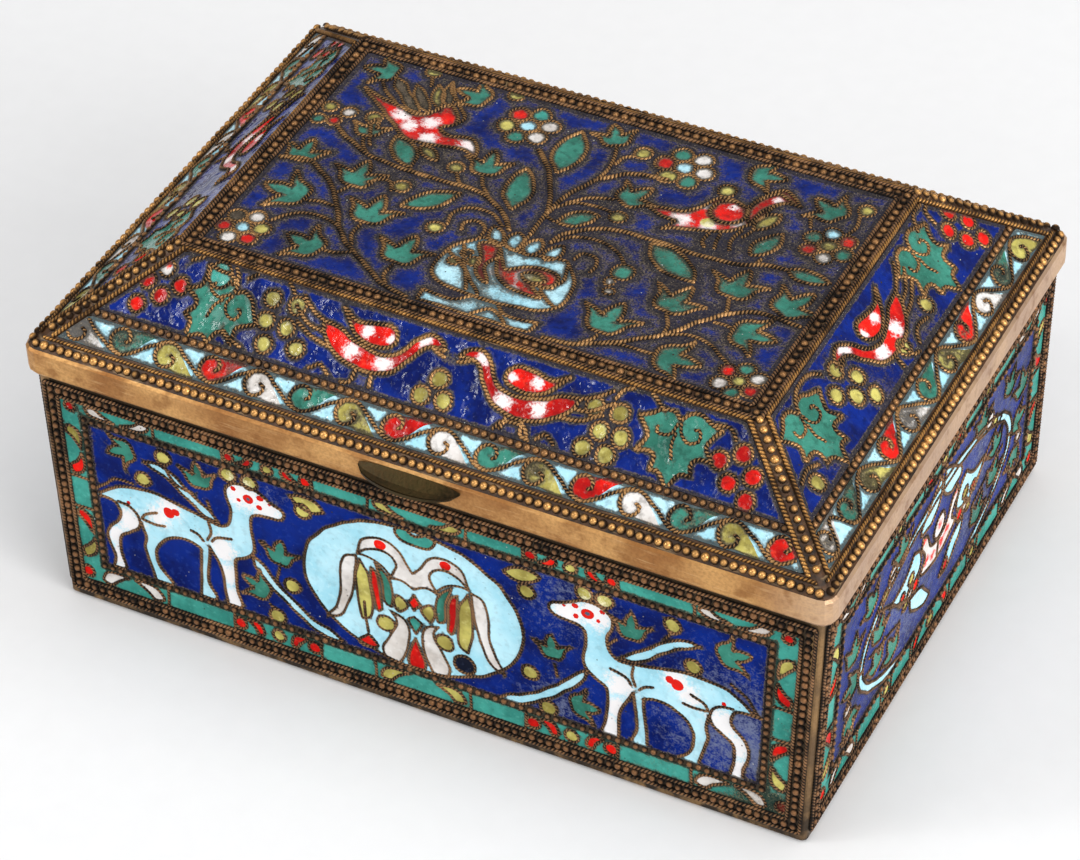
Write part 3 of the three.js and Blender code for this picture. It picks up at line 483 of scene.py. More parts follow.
class Panel:
    """One enamelled tray: its wires, the cells between them, and its dirt."""

    def __init__(self, face, node, ground="cobalt", dirt=(0.5, 1.2), spacing=0.9, hole=None, fine=False,
                 inside=0.45):
        self.face, self.node, self.ground, self.spacing = face, node, ground, spacing
        self.radius = 0.28 if fine else WIRE_RADIUS
        self.seam = 0.1 if fine else 0.15
        self.outline = face.corners(node)
        self.hole = None if hole is None else inset(face.corners(hole), -0.1)
        self.dirt, self.inside = dirt, inside
        self.wires, self.cells, self.clouds, self.hazes, self.stains = [], [], [], [], []

    def within(self, flat, margin):
        """Which of the points lie on the tray, that far in from its edge."""
        keep = np.ones(len(flat), bool)
        edge = inset(self.outline, margin)
        for a, b in zip(edge, np.roll(edge, -1, axis=0)):
            keep &= (b[0] - a[0]) * (flat[:, 1] - a[1]) > (b[1] - a[1]) * (flat[:, 0] - a[0])
        return keep

    def lay(self, line, closed, radius):
        """Keeps a wire where it lies on the tray."""
        kept = self.within(line, -0.05)
        if kept.all():
            self.wires.append((line, closed, radius))
            return
        if closed:
            line, kept = np.vstack([line, line[:1]]), np.append(kept, kept[0])
        cuts = np.flatnonzero(np.diff(kept.astype(int))) + 1
        for run, inside in zip(np.split(line, cuts), np.split(kept, cuts)):
            if inside[0] and len(run) > 2:
                self.wires.append((run, False, radius))

    def wire(self, points, sharp=(), closed=False, radius=None):
        self.lay(by_hand(bend(points, sharp, closed)), closed, self.radius if radius is None else radius)

    def cell(self, colour, points, sharp=(), radius=None):
        """A closed wire with one glass inside it; without a radius the glass has no wire."""
        edge = bend(points, sharp, True)
        if np.linalg.norm(edge[0] - edge[-1]) < 0.05:
            edge = edge[:-1]
        edge = by_hand(edge)
        after = np.roll(edge, -1, axis=0)
        if np.sum(edge[:, 0] * after[:, 1] - edge[:, 1] * after[:, 0]) < 0:
            edge = edge[::-1]
        self.cells.append((evenly(np.vstack([edge, edge[:1]]), 0.5)[:-1], colour))
        if radius != 0:
            self.lay(edge, True, radius or self.radius)

    def dirt_at(self, flat, gap, ground):
        """How much dirt lies at each point, less inside a cell, and a dark line right beside the wires."""
        share = 1 if ground else self.inside
        strength, reach = self.dirt if ground else (share * self.dirt[0], max(0.5, 0.5 * self.dirt[1]))
        beside = np.maximum(gap - self.radius - (0.02 if ground else -0.06), 0) / self.seam
        # The second term is a dark line right beside each wire.
        film = strength * np.exp(-(gap / reach) ** 2) + 1.1 * np.exp(-beside ** 2)
        for u, v, size, more in self.stains:
            film = film + share * more * np.exp(-((flat[:, 0] - u) ** 2 + (flat[:, 1] - v) ** 2) / size ** 2)
        return np.clip(film, 0, 1.5)

    def cloud_at(self, flat, ground):
        """Paler glass: clouds inside the cells, and pale patches on the ground."""
        cloud = np.zeros(len(flat))
        for u, v, size, *more in self.hazes if ground else self.clouds:
            strength = more[0] if more else 1
            cloud = np.maximum(cloud, strength * np.exp(
                -((flat[:, 0] - u) ** 2 + (flat[:, 1] - v) ** 2) / size ** 2))
        return cloud

    def nearest_wire(self, flat):
        """Distance from each point to the nearest wire or edge."""
        lines = [evenly(line, 0.3) for line, closed, radius in self.wires]
        lines.append(evenly(np.vstack([self.outline, self.outline[:1]]), 0.3))
        if self.hole is not None:
            lines.append(evenly(np.vstack([self.hole, self.hole[:1]]), 0.3))
        places = np.concatenate(lines)
        tree = KDTree(len(places))
        for i, (u, v) in enumerate(places):
            tree.insert((u, v, 0), i)
        tree.balance()
        return np.array([tree.find((u, v, 0))[2] for u, v in flat])

    def triangles(self, inside):
        """Flat points and, for each glass, the triangles of its cells; the ground goes by its node."""
        edges = [evenly(np.vstack([ring, ring[:1]]), 0.9)[:-1]
                 for ring in (self.outline, self.hole) if ring is not None]
        loops = edges + [edge for edge, colour in self.cells]
        glasses = [self.node] + ([None] if self.hole is not None else [])
        glasses += [colour for edge, colour in self.cells]
        points = [Vector(p) for p in np.concatenate(loops + [inside])]
        faces, start = [], 0
        for loop in loops:
            faces.append(list(range(start, start + len(loop))))
            start += len(loop)
        flat, _, found, _, _, owners = delaunay_2d_cdt(points, [], faces, 1, 1e-4)
        sorted_out = {}
        for corners, owner in zip(found, owners):
            if 0 in owner and not (self.hole is not None and 1 in owner):
                sorted_out.setdefault(glasses[max(owner)], []).append(corners)
        return np.array([tuple(p) for p in flat]), sorted_out

    def lattice(self):
        """Points spread evenly inside the outline."""
        low, high = self.outline.min(axis=0), self.outline.max(axis=0)
        rows = np.arange(low[1] + 0.4, high[1] - 0.3, self.spacing * 0.866)
        spread = []
        for number, v in enumerate(rows):
            start = low[0] + self.spacing * (0.4 + 0.5 * (number % 2))
            us = np.arange(start, high[0] - 0.3, self.spacing)
            spread.append(np.stack([us, np.full(len(us), v)], axis=1))
        spread = np.concatenate(spread)
        spread = spread[self.nearest_wire(spread) > 1.15]
        rows = [spread]
        for distance in (self.radius + 0.13, self.radius + 0.45):
            rings = [(ring, True, 0) for ring in (self.outline, self.hole) if ring is not None]
            for line, closed, radius in self.wires + rings:
                line = evenly(np.vstack([line, line[:1]]) if closed else line, 0.75)
                along = np.gradient(line, axis=0)
                across = np.stack([along[:, 1], -along[:, 0]], axis=1)
                across *= distance / (np.linalg.norm(along, axis=1)[:, None] + 1e-9)
                beside = np.concatenate([line + across, line - across])
                rows.append(beside)
            beside = np.concatenate(rows[1:])
            rows = [spread, beside[self.nearest_wire(beside) > self.radius + 0.04]]
        spread = np.concatenate(rows)
        return spread[self.within(spread, 0.3)]

    def melt(self, pots):
        """Fills the tray: adds each glass to its pot as closed bodies."""
        top, above = self.triangles(self.lattice())
        under, below = self.triangles(np.zeros((0, 2)))
        gap = self.nearest_wire(top)
        ripple = np.sin(1.1 * top[:, 0] + 0.6 * top[:, 1]) * np.sin(0.8 * top[:, 1] - 0.5 * top[:, 0])
        lift = 0.02 + 0.13 * np.exp(-(gap / 0.5) ** 2) + 0.03 * ripple
        clouds = {ground: self.cloud_at(top, ground) for ground in (True, False)}
        films = {ground: self.dirt_at(top, gap, ground) for ground in (True, False)}
        matching = {tuple(np.round(p, 3)): i for i, p in enumerate(under)}
        for colour, corners in above.items():
            corners = np.array(corners)
            floor_corners = np.array(below.get(colour, []), int).reshape(-1, 3)
            links = np.concatenate([corners[:, [0, 1]], corners[:, [1, 2]], corners[:, [2, 0]]])
            known = {(a, b) for a, b in links}
            rim = [(a, b) for a, b in known if (b, a) not in known]
            sides = []
            for a, b in sorted(rim):
                c, d = (matching.get(tuple(np.round(top[k], 3))) for k in (b, a))
                if c is not None and d is not None:
                    sides.append((b, a, len(top) + d, len(top) + c))
            used = np.unique(np.concatenate([
                corners.ravel(), floor_corners.ravel() + len(top), np.array(sides, int).ravel()]))
            renumber = np.zeros(len(top) + len(under), int)
            renumber[used] = np.arange(len(used))
            points = np.concatenate([self.face.at(top, lift), self.face.at(under, -ENAMEL_DEPTH)])[used]
            faces = [renumber[corners], renumber[floor_corners[:, ::-1] + len(top)],
                     renumber[np.array(sides, int)]]
            pot = pots.setdefault(colour, Heap())
            film, cloud = films[colour == self.node], clouds[colour == self.node]
            pot.add(points, faces, film=np.concatenate([film, np.zeros(len(under))])[used],
                    cloud=np.concatenate([cloud, np.zeros(len(under))])[used])

    def solder(self, heap, section=TWIST / 3):
        """Lays the wires."""
        for line, closed, radius in self.wires:
            line = np.vstack([line, line[:1]]) if closed else line
            twist(heap, self.face.at, line, 0.3 - self.radius * 0.6 - 0.08, radius, section)


# ---- Drawing in wire --------------------------------------------------------------
# The maker's stock of shapes: berries, ivy and vine leaves, long leaves, ribbons,
# stems and rosettes, each a closed wire around one glass.
def circle(u, v, radius, count=10):
    angles = np.arange(count) * 2 * math.pi / count
    return np.stack([u + radius * np.cos(angles), v + radius * np.sin(angles)], axis=1)


def turned(points, u, v, turn, size=1.0, flip=1):
    """Points moved to a place, with their +v axis turned to point that many degrees."""
    angle = math.radians(turn - 90)
    points = np.array(points, float) * (size * flip, size)
    spin = np.array([[math.cos(angle), math.sin(angle)], [-math.sin(angle), math.cos(angle)]])
    return points @ spin + (u, v)


def mirrored(half):
    """A closed outline from its right half, which starts and ends on the middle line."""
    half = np.array(half, float)
    return np.vstack([half, half[-2:0:-1] * (-1, 1)])


def berry(panel, u, v, colour="yellow", radius=1.35):
    panel.cell(colour, circle(u, v, radius), radius=0.28)


def ivy_leaf(panel, u, v, turn, size=1.0, colour="green"):
    half = [(0, -2.5), (1.7, -2.4), (2.8, -1.2), (3.3, 0.4), (4.9, 2.1), (2.9, 1.6), (1.3, 0.9),
            (1.2, 2.5), (0, 4.5)]
    outline = mirrored(half)
    panel.cell(colour, turned(outline, u, v, turn, size), sharp=(4, 6, 10, 12))


def long_leaf(panel, start, end, width, colour="green"):
    start, end = np.array(start, float), np.array(end, float)
    along = end - start
    across = np.array([-along[1], along[0]]) / np.linalg.norm(along) * width / 2
    swell = [(0.25, 0.8), (0.5, 1), (0.78, 0.72)]
    right = [start + along * t - across * s for t, s in swell]
    left = [start + along * t + across * s for t, s in reversed(swell)]
    panel.cell(colour, [start, *right, end, *left], sharp=(0, 4))


def vine_leaf(panel, u, v, turn, size=1.0, colour="green"):
    """Broad, with pointed lobes and deep notches, and curled veins."""
    half = [(0, -3.6), (1.1, -5.0), (3.0, -5.1), (4.5, -4.2), (6.6, -3.4), (5.2, -1.8), (4.7, -0.4),
            (6.1, 1.7), (3.9, 1.5), (2.9, 2.3), (3.2, 4.3), (1.5, 4.4), (0, 6.6)]
    panel.cell(colour, turned(mirrored(half), u, v, turn, 0.94 * size), sharp=(0, 4, 7, 10, 12, 14, 17, 20))
    veins = ([(-0.1, -3.4), (-0.5, -1.7), (-1.8, -0.7), (-3.4, -1.3), (-3.2, -2.7), (-2.3, -2.6)],
             [(0.2, -3.2), (1.2, -1.5), (3.2, -1.4), (3.4, -2.6)], [(0.3, -1.9), (0.7, 0.2), (0.2, 2.2)])
    for vein in veins:
        panel.wire(turned(vein, u, v, turn, 0.94 * size), radius=0.3)


def ribbon(panel, line, width, colour="turquoise"):
    """A narrow band along a line, running out to points at both ends."""
    line = bend(line)
    line = evenly(line, 2.2)
    along = np.gradient(line, axis=0)
    along /= np.linalg.norm(along, axis=1)[:, None]
    across = np.stack([-along[:, 1], along[:, 0]], axis=1) * width / 2
    across[[0, -1]] = 0
    outline = np.vstack([line + across, (line - across)[-2:0:-1]])
    panel.cell(colour, outline, sharp=(0, len(line) - 1), radius=0.28)


def rosette(panel, u, v, turn, colours, size=1.0):
    """A berry with others set close round it."""
    berry(panel, u, v, colours[0], 1.55 * size)
    for i, colour in enumerate(colours[1:]):
        angle = math.radians(turn + 360 * i / (len(colours) - 1))
        berry(panel, u + 3.25 * size * math.cos(angle), v + 3.25 * size * math.sin(angle), colour, 1.6 * size)


# ---- Base: borders of the walls ---------------------------------------------------
# A frame of teal glass runs round each wall, broken by leaves and buds in white,
# yellow and red, the same from both ends of every run.
LONG_RUN = [
    ("bud", "red", 58.2, 0), ("leaf", "white", 55.6, 50.6), ("leaf", "white", 44.6, 49.8),
    ("bar", None, 43.9, 0), ("bar", None, 32.2, 0), ("bud", "red", 31.1, 0),
    ("leaf", "red", 27.0, 30.0), ("bud", "yellow", 24.6, 0), ("leaf", "red", 22.4, 19.4),
    ("bud", "red", 18.3, 0), ("bar", None, 17.2, 0), ("bar", None, 8.0, 0),
    ("leaf", "yellow", 7.0, 2.2),
]
SHORT_RUN = [
    ("bud", "red", 40.2, 0), ("leaf", "white", 37.6, 33.4), ("leaf", "white", 28.6, 32.8),
    ("bar", None, 27.6, 0), ("bar", None, 18.6, 0), ("bud", "yellow", 16.6, 0),
    ("bar", None, 14.8, 0), ("bar", None, 7.6, 0), ("leaf", "red", 6.6, 3.2), ("bud", "yellow", 0.01, 0),
]
UPRIGHT_RUN = [
    ("leaf", "yellow", 12.8, 8.6), ("leaf", "red", 3.6, 7.8), ("bar", None, 3.0, 0),
]


def border_run(panel, start, end, inwards, width, units):
    """Sets the units along one side of a border, mirrored about its middle."""
    start, end = np.array(start), np.array(end)
    along = (end - start) / np.linalg.norm(end - start)
    middle = (start + end) / 2

    def place(points):
        return [middle + along * s + inwards * t * width for s, t in points]

    for kind, colour, near, far in units:
        for side in (-1, 1):
            a, b = side * near, side * far
            if kind == "bud":
                spot = place([(a, 0.5)])[0]
                berry(panel, *spot, colour, min(0.36 * width, 1.1))
            elif kind == "bar":
                panel.wire(place([(a, 0), (a, 1)]))
            else:
                tip = a + (b - a) * 0.15
                outline = [(b, 0.85), (a + (b - a) * 0.55, 0.5), (a + (b - a) * 0.3, 0.16), (a, 0.3),
                           (tip, 0.72), (a + (b - a) * 0.5, 0.88)]
                panel.cell(colour, place(outline), sharp=(0,))


def wall_border(side, long_run, dirt):
    face = walls[side]
    node = f"base_border_enamel_{side}"
    panel = Panel(face, node, "teal", dirt, hole=f"base_inner_beading_{side}", fine=True)
    inner = face.corners(f"base_inner_beading_{side}")
    a, b, c, d = panel.outline
    low, high = inner[0, 1] - panel.outline[0, 1], panel.outline[2, 1] - inner[2, 1]
    across = inner[0, 0] - panel.outline[0, 0]
    border_run(panel, a, b, np.array((0, 1)), low, long_run)
    border_run(panel, d, c, np.array((0, -1)), high, long_run)
    border_run(panel, a, d, np.array((1, 0)), across, UPRIGHT_RUN)
    border_run(panel, b, c, np.array((-1, 0)), across, UPRIGHT_RUN)
    return panel


# ---- Base: the front picture --------------------------------------------------------
# A two-headed bird on a pale oval between two hounds that face it, with ivy around
# them on a cobalt ground.
def hound(panel, flip, shift):
    """A standing hound, drawn for the left side and facing right."""
    def place(points):
        return np.array(points, float) * (flip, 1) + shift

    outline = [(-55.8, 22.3), (-54.2, 23), (-52.6, 24.3), (-50.4, 25.7), (-47.6, 26.3), (-44, 26.4),
               (-40, 25.7), (-36.4, 24.8), (-33.6, 24.3), (-32.2, 25), (-31.5, 26.6), (-31.4, 28.6),
               (-32, 30.2), (-32.1, 31.9), (-31.2, 33.1), (-29.6, 33.8), (-27.6, 33.8), (-25.8, 33),
               (-24.2, 32), (-22.7, 31.4), (-22.2, 30.4), (-22.9, 29.5), (-25, 29.2), (-27, 28.8),
               (-28, 27.8), (-28, 25.6), (-27.7, 23), (-28.1, 21), (-29.5, 19.6), (-31.1, 18.6),
               (-31.4, 17), (-31.4, 14), (-31.1, 11.6), (-30.5, 9.6), (-31, 8.9), (-33.1, 8.9),
               (-33.3, 11), (-33.4, 14), (-34, 16.2), (-35, 18), (-35.6, 19.5), (-36, 15),
               (-36.2, 11.8), (-35.1, 9.6), (-35.6, 8.9), (-37.8, 8.9), (-37.7, 11.4), (-37.3, 15),
               (-37.2, 18.6), (-38.8, 19.2), (-41, 19.1), (-43, 18), (-44.6, 16.3), (-45.3, 14.6),
               (-45, 12.4), (-44.1, 10.8), (-42.7, 9.5), (-43, 8.9), (-45.7, 8.9), (-46.3, 11.2),
               (-46.9, 13.4), (-47.3, 15.2), (-46.9, 17.2), (-47.5, 19.8), (-48.1, 18.1), (-49.8, 16.8),
               (-51.3, 15.4), (-51.6, 12), (-51, 9.6), (-51.4, 8.9), (-53.2, 8.9), (-52.9, 11),
               (-53.7, 14.4), (-53.3, 16.6), (-51.6, 18.6), (-50.9, 20.2), (-51.5, 22), (-53, 22.5)]
    corners = (0, 34, 35, 40, 44, 45, 48, 57, 58, 63, 69, 70)
    panel.cell("turquoise", place(outline), sharp=corners)
    for line in (
        [(-47.4, 20.2), (-46.6, 21.6), (-44.4, 22.8)], [(-47.2, 20.3), (-45, 20.2), (-43.2, 20.5)],
        [(-35.6, 24.4), (-35.2, 22.4), (-35.9, 20.4)], [(-35.2, 20.4), (-34.2, 21.7), (-31.6, 22.4)],
        [(-51.4, 22.6), (-49.4, 22.2), (-48.1, 21), (-47.6, 19.6)], [(-38.8, 21.4), (-37.4, 21), (-36.4, 20)],
    ):
        panel.wire(place(line))
    for u, v, size in (
        (-29.4, 32, 3.4), (-25.2, 30.8, 3.2), (-49.6, 19, 3.0), (-51.8, 15, 2.8), (-52, 11, 2.8),
        (-33.4, 19.6, 2.7), (-32.6, 15, 2.6), (-32, 10.5, 2.8), (-42.2, 24.6, 2.4), (-44.4, 22, 2.2),
    ):
        (u, v), = place([(u, v)])
        panel.clouds.append((u, v, size))
    for colour, radius in (("scarlet", 1.0), ("night", 0.42)):
        panel.cell(colour, place(circle(-28.2, 31.4, radius)), radius=0)
    for u, v, radius in ((-26.2, 32.3, 0.6), (-29.9, 30.6, 0.4), (-42.4, 23.4, 1.0), (-41.2, 23.9, 0.7),
                         (-30.6, 32.6, 0.5), (-26.4, 30.3, 0.5), (-24.6, 31.6, 0.35), (-49.6, 22.8, 0.4)):
        (u, v), = place([(u, v)])
        panel.cell("scarlet", circle(u, v, radius, 8), radius=0)
    ribbon(panel, place([(-33.6, 24.9), (-36.6, 26.6), (-40, 29.6), (-43, 31.6), (-46, 32.2)]), 1.5)
    ribbon(panel, place([(-28.2, 20.6), (-25.6, 17), (-22, 13.6), (-18, 10.6), (-13.4, 9.2)]), 1.5)


def eagle(panel, u, v, size=1.0):
    """A two-headed bird with hanging wings, drawn from its right half."""
    def place(points, side=1):
        return np.array(points, float) * (side * size, size) + (u, v)

    fine = 0.23
    head = [(0, 2.4), (2, 3.5), (4.4, 3.0), (3.2, 4.5), (2.6, 5.9), (3.3, 7.3), (5, 8.0), (7.4, 7.5),
            (9.3, 5.9), (8.2, 8.8), (6.2, 10.2), (4, 10.2), (2.3, 8.9), (1.0, 6.8), (0, 5.4)]
    panel.cell("white", place(mirrored(head)), sharp=(0, 2, 8, 14, 20, 26), radius=fine)
    petal = [(4.1, -3.2), (3.1, -5.4), (4.3, -8.4), (5.6, -11.2), (4.7, -13.1), (2.8, -12.9), (1.5, -9.8),
             (1.1, -6.4), (1.9, -4.2)]
    for side in (-1, 1):
        feathers = (
            ("white", [(9.5, 5.4), (11.4, 4.4), (12.3, 1), (12.4, -2.6), (13.2, -5.6), (14.9, -8.6),
                       (12.7, -7.6), (11, -4.4), (10.2, -0.6), (9.7, 2.6)]),
            ("yellow", [(8.9, 5.0), (9.7, 1.2), (9.5, -3), (8.8, -6.6), (7.3, -5.4), (7.2, -1), (7.6, 2.6)]),
            ("scarlet", [(7.2, 4.2), (7.1, 0), (6.3, -4), (5.4, -3.4), (5.6, 0.6), (6.2, 3.2)]),
            ("green", [(6.4, 5.2), (4.5, 3.4), (3.5, 0), (3.9, -2.4), (4.9, -1.8), (5.2, 1.6)]),
        )
        for colour, points in feathers:
            panel.cell(colour, place(points, side), sharp=(0, len(points) // 2), radius=fine)
        panel.cell("white", place(petal, side), sharp=(0,), radius=fine)
        panel.cell("yellow", place([(2.7, -2.9), (1.1, -1.4), (2.4, 0.4), (3.4, -0.8)], side), radius=fine)
        panel.cell("yellow", place(circle(4.9, -6.2, 1.5, 8), side), radius=fine)
        panel.cell("scarlet", place(circle(5.4, 9, 1.0, 8), side), radius=0)
        panel.wire(place([(9.4, 5.8), (7.6, 6), (5.2, 5.0), (3.6, 3.2)], side), radius=fine)
    panel.cell("scarlet", place([(0, -1.9), (1.1, -0.3), (0, 1.4), (-1.1, -0.3)]), sharp=(0, 1, 2, 3),
               radius=fine)
    panel.cell("scarlet",
               place([(0, -7), (1.2, -10.4), (1.4, -12.6), (0, -13.8), (-1.4, -12.6), (-1.2, -10.4)]),
               sharp=(0,), radius=fine)
    panel.cell("teal", place([(0, -2.9), (1.2, -4.0), (0, -6.2), (-1.2, -4.0)]), sharp=(0, 2), radius=fine)


def front_picture():
    panel = Panel(walls["front"], "base_field_enamel_front", "cobalt", (0.3, 0.6), fine=True)
    panel.cell("turquoise", [(-1.2 + 18.1 * math.cos(a), 22.3 + 13.5 * math.sin(a))
                             for a in np.linspace(0, 2 * math.pi, 25)[:-1]])
    eagle(panel, -0.9, 22)
    crown = [(0, -1.4), (2.4, -1.0), (3.2, 0.7), (1.9, 1.5), (0, 0.4)]
    panel.cell("teal", turned(mirrored(crown), -0.3, 34.4, 90))
    berry(panel, 7.2, 12.8, "night", 1.75)
    panel.cell("scarlet", [(-8.9, 12.6), (-7.4, 10.6), (-9, 9.9), (-10.6, 10.6)], sharp=(0,))
    panel.wire([(-8.9, 12.8), (-9.1, 16), (-9.3, 19)])
    hound(panel, 1, (0, 0))
    hound(panel, -1, (-1.0, -0.6))
    for u, v, turn, size in (
        (-49.4, 33.0, 200, 0.7), (-36.6, 32.3, 95, 0.7), (-23.4, 22.2, 85, 0.7), (-27.4, 14.4, 150, 0.7),
        (49.6, 31.8, 20, 0.75), (34.2, 30.6, 90, 0.7), (21.6, 21.6, 95, 0.65), (26.2, 12.4, 10, 0.7),
    ):
        ivy_leaf(panel, u, v, turn, size)
    for u, v in (
        (-46.4, 28.6), (-42.6, 34.2), (-31.4, 34.9), (-27.9, 34.8), (-19, 32.6), (-21.6, 17.1), (-24.5, 9.8),
        (17.6, 31.4), (26.8, 34.6), (30, 34.4), (40.6, 34), (43.9, 27.4), (17.9, 15.7), (20.9, 9.9),
    ):
        berry(panel, u, v)
    for side in (-1, 1):
        long_leaf(panel, (side * 14.6 - 0.6, 33.6), (side * 20.4 - 0.6, 34.9), 2.6, "yellow")
    for line in (
        [(-56, 22.4), (-54, 24.4), (-51.6, 26.6), (-48, 27)], [(-42.4, 33), (-41, 30), (-37.6, 29)],
        [(-35.4, 28.6), (-34.8, 26.4)], [(-23.6, 20), (-24, 17.2), (-23, 15.4)],
        [(40.4, 32.8), (39.2, 30.6)], [(54.2, 22), (52.4, 24.8), (49.6, 26.6)],
        [(21.8, 19.2), (22.4, 16.6)], [(-24.6, 11), (-26, 12)], [(30.6, 26.4), (32, 28)],
    ):
        panel.wire(line)
    panel.stains += [(54, 9, 3.4, 0.4), (-54, 34, 3, 0.3)]
    panel.hazes += [(50, 18, 14, 0.6), (56, 14, 7, 0.8), (24, 32, 10, 0.42), (22, 12, 8, 0.42),
                    (-24, 34, 6, 0.3)]
    return panel


panels = {"front": [front_picture(), wall_border("front", LONG_RUN, (0.25, 0.5))]}
panels["front"][1].stains += [(57.8, 5.7, 1.5, 1.6), (56, 8, 6, 0.5), (60, 21, 4, 0.4),
                              (38, 4.6, 6, 0.35), (52, 5.4, 4.5, 0.55), (-57, 38.6, 1.6, 0.7)]


# ---- Base: the end and back pictures ------------------------------------------------
# The right end has a wide ring round a white bird, the left end the same ring round
# leaves alone, and the back, under the hinge, has one scrolling stem.
def wide_ring(panel, u, v, half_u, half_v, width):
    """An oval ring of pale glass in two halves, between wires."""
    for start in (0, math.pi):
        angles = np.linspace(start, start + math.pi, 17)
        outer = np.stack([u + half_u * np.cos(angles), v + half_v * np.sin(angles)], axis=1)
        inner = np.stack([u + (half_u - width) * np.cos(angles), v + (half_v - width) * np.sin(angles)],
                         axis=1)
        panel.cell("turquoise", np.vstack([outer, inner[::-1]]), sharp=(0, 16, 17, 33))


def end_picture(side):
    panel = Panel(walls[side], f"base_field_enamel_{side}", "cobalt", (0.5, 0.9), fine=True)
    wide_ring(panel, 0.5, 19.8, 29.5, 13.6, 1.6)
    for flip in (-1, 1):
        for u, v, turn, size in (
            (32.2, 27, 100, 0.8), (26.4, 31.6, 60, 0.75), (15.2, 32.6, 80, 0.8), (22.4, 22.6, 110, 0.75),
            (22.6, 16.6, 70, 0.75), (16.4, 13.6, 60, 0.8), (31.6, 12.4, 250, 0.75), (31.8, 20, 0, 0.75),
        ):
            ivy_leaf(panel, 0.5 + flip * u, v, turn if flip > 0 else 180 - turn, size)
        berry(panel, 0.5 + flip * 18.6, 30.6, "white", 1.5)
        berry(panel, 0.5 + flip * 21, 28.6, "yellow", 1.0)
        berry(panel, 0.5 + flip * 33, 16, "white", 1.1)
        panel.wire([(0.5 + flip * 14, 20), (0.5 + flip * 18, 24), (0.5 + flip * 24, 27.6)])
        panel.wire([(0.5 + flip * 14, 17), (0.5 + flip * 19, 18.4), (0.5 + flip * 26, 20)])
        panel.wire([(0.5 + flip * 28.6, 12), (0.5 + flip * 33, 9.4), (0.5 + flip * 35, 11)])
    return panel


def right_picture():
    panel = end_picture("right")
    for flip in (-1, 1):
        def place(points, flip=flip):
            return np.array(points, float) * (flip, 1) + (0.4, 0)
        panel.cell("turquoise",
                   place([(0.6, 35.4), (2.4, 34.6), (7.4, 30.6), (7.6, 29), (3.8, 28.2), (0.6, 31)]),
                   sharp=(0, 3, 4))
        panel.cell("turquoise",
                   place([(18.6, 24), (13.6, 24.6), (10, 27.4), (7.4, 25.6), (7.2, 22), (12.4, 20)]),
                   sharp=(0, 2, 5))
        panel.cell("turquoise", place([(10.2, 18.4), (6, 17.2), (1.8, 12.6), (4.8, 12.4), (9, 15.2)]),
                   sharp=(0, 2))
        for u, v, colour, radius in ((13.6, 21.6, "red", 1.1), (10.4, 22.9, "yellow", 1.1),
                                     (10.6, 20.3, "white", 1.1), (8.4, 20, "red", 1.2),
                                     (12, 18.8, "yellow", 0.9)):
            berry(panel, *place([(u, v)])[0], colour, radius)
        panel.cell("white", place([(0, 18.4), (3, 18.8), (6.4, 20.2), (5.2, 22.6), (6.8, 25.6), (6.6, 27.6),
                                   (4.6, 26.2), (3, 23.2), (0, 22)]), sharp=(0, 5, 8))
        for u, v in ((1.6, 20.2), (5.8, 26.4), (4, 21)):
            panel.clouds.append((*place([(u, v)])[0], 1.1))
    panel.cell("white", circle(0.4, 24.8, 2.2, 12))
    panel.clouds.append((0.9, 24.6, 1))
    berry(panel, 4.4, 13.4, "red", 1.1)
    # Painted reflection: the cobalt on this end is paled over most of its width, as by the bright room
    # mirrored at a slant.
    panel.hazes += [(-12, 20, 16, 0.45), (16, 20, 16, 0.45)]
    return panel


def left_picture():
    panel = end_picture("left")
    for turn in (0, 72, 144, 216, 288):
        angle = math.radians(turn + 90)
        ivy_leaf(panel, 0.5 + 6.2 * math.cos(angle), 20 + 6.2 * math.sin(angle), turn + 90, 0.9)
    rosette(panel, 0.5, 20, 0, ["yellow"] + ["white", "red"] * 3, 0.7)
    return panel


def back_picture():
    """A stem that rolls along the wall, with a leaf or a rosette in each bay."""
    panel = Panel(walls["back"], "base_field_enamel_back", "cobalt", (0.4, 0.8), spacing=1.1, fine=True)
    middle = (panel.outline[0, 1] + panel.outline[2, 1]) / 2
    panel.wire([(u, middle + 6 * math.sin(u / 6.6)) for u in np.linspace(-51, 51, 35)], radius=0.4)
    bay = 6.6 * math.pi
    for number in range(-2, 3):
        for half in (0, 1):
            u = (number + 0.25 + 0.5 * half) * bay * 2 - bay
            if abs(u) > 50:
                continue
            side = -1 if half == 0 else 1
            ivy_leaf(panel, u - 3.2, middle + side * 3.4, 90 - side * 60, 0.95)
            ivy_leaf(panel, u + 4.4, middle + side * 6.2, 90 + side * 40, 0.75)
            berry(panel, u + 1.6, middle + side * 1.6, "yellow")
            rosette(panel, u + 0.4, middle - side * 8.6, 90, ["yellow", "red", "white", "red"], 0.68)
    return panel


panels["right"] = [right_picture(), wall_border("right", SHORT_RUN, (0.3, 0.6))]
panels["left"] = [left_picture(), wall_border("left", SHORT_RUN, (0.3, 0.6))]
panels["back"] = [back_picture(), wall_border("back", LONG_RUN, (0.4, 0.6))]


# ---- Base: wires and enamels into pieces --------------------------------------------
# Each wall has one piece of wirework. The grounds stand for the plates in their trays,
# and each other colour is one piece for all the walls.
dark_wire = wire_metal("dark_gilt_wire", srgb(158, 116, 78), srgb(24, 18, 14), 0.4)
SLOTS = {"night": "enamel_cobalt", "umber": "enamel_white", "scarlet": "enamel_red"}


def fire(pots, panels, part):
    """Turns melted glass into pieces: a ground for each tray, and one piece for each colour."""
    grounds = {panel.node: panel.ground for panel in panels}
    for key, pot in pots.items():
        colour = grounds.get(key, key)
        name = key.replace("_enamel", "_glass") if key in grounds else f"{part}_glass_{colour}"
        replaced = [key] if key in grounds else []
        pot.make(name, glass[part, colour], SLOTS.get(colour, "enamel_" + colour), part, replaced)


def step_for(side):
    """Length of a wire's sections: finer on the front and the right end."""
    return TWIST / (3 if side in ("front", "right") else 2)


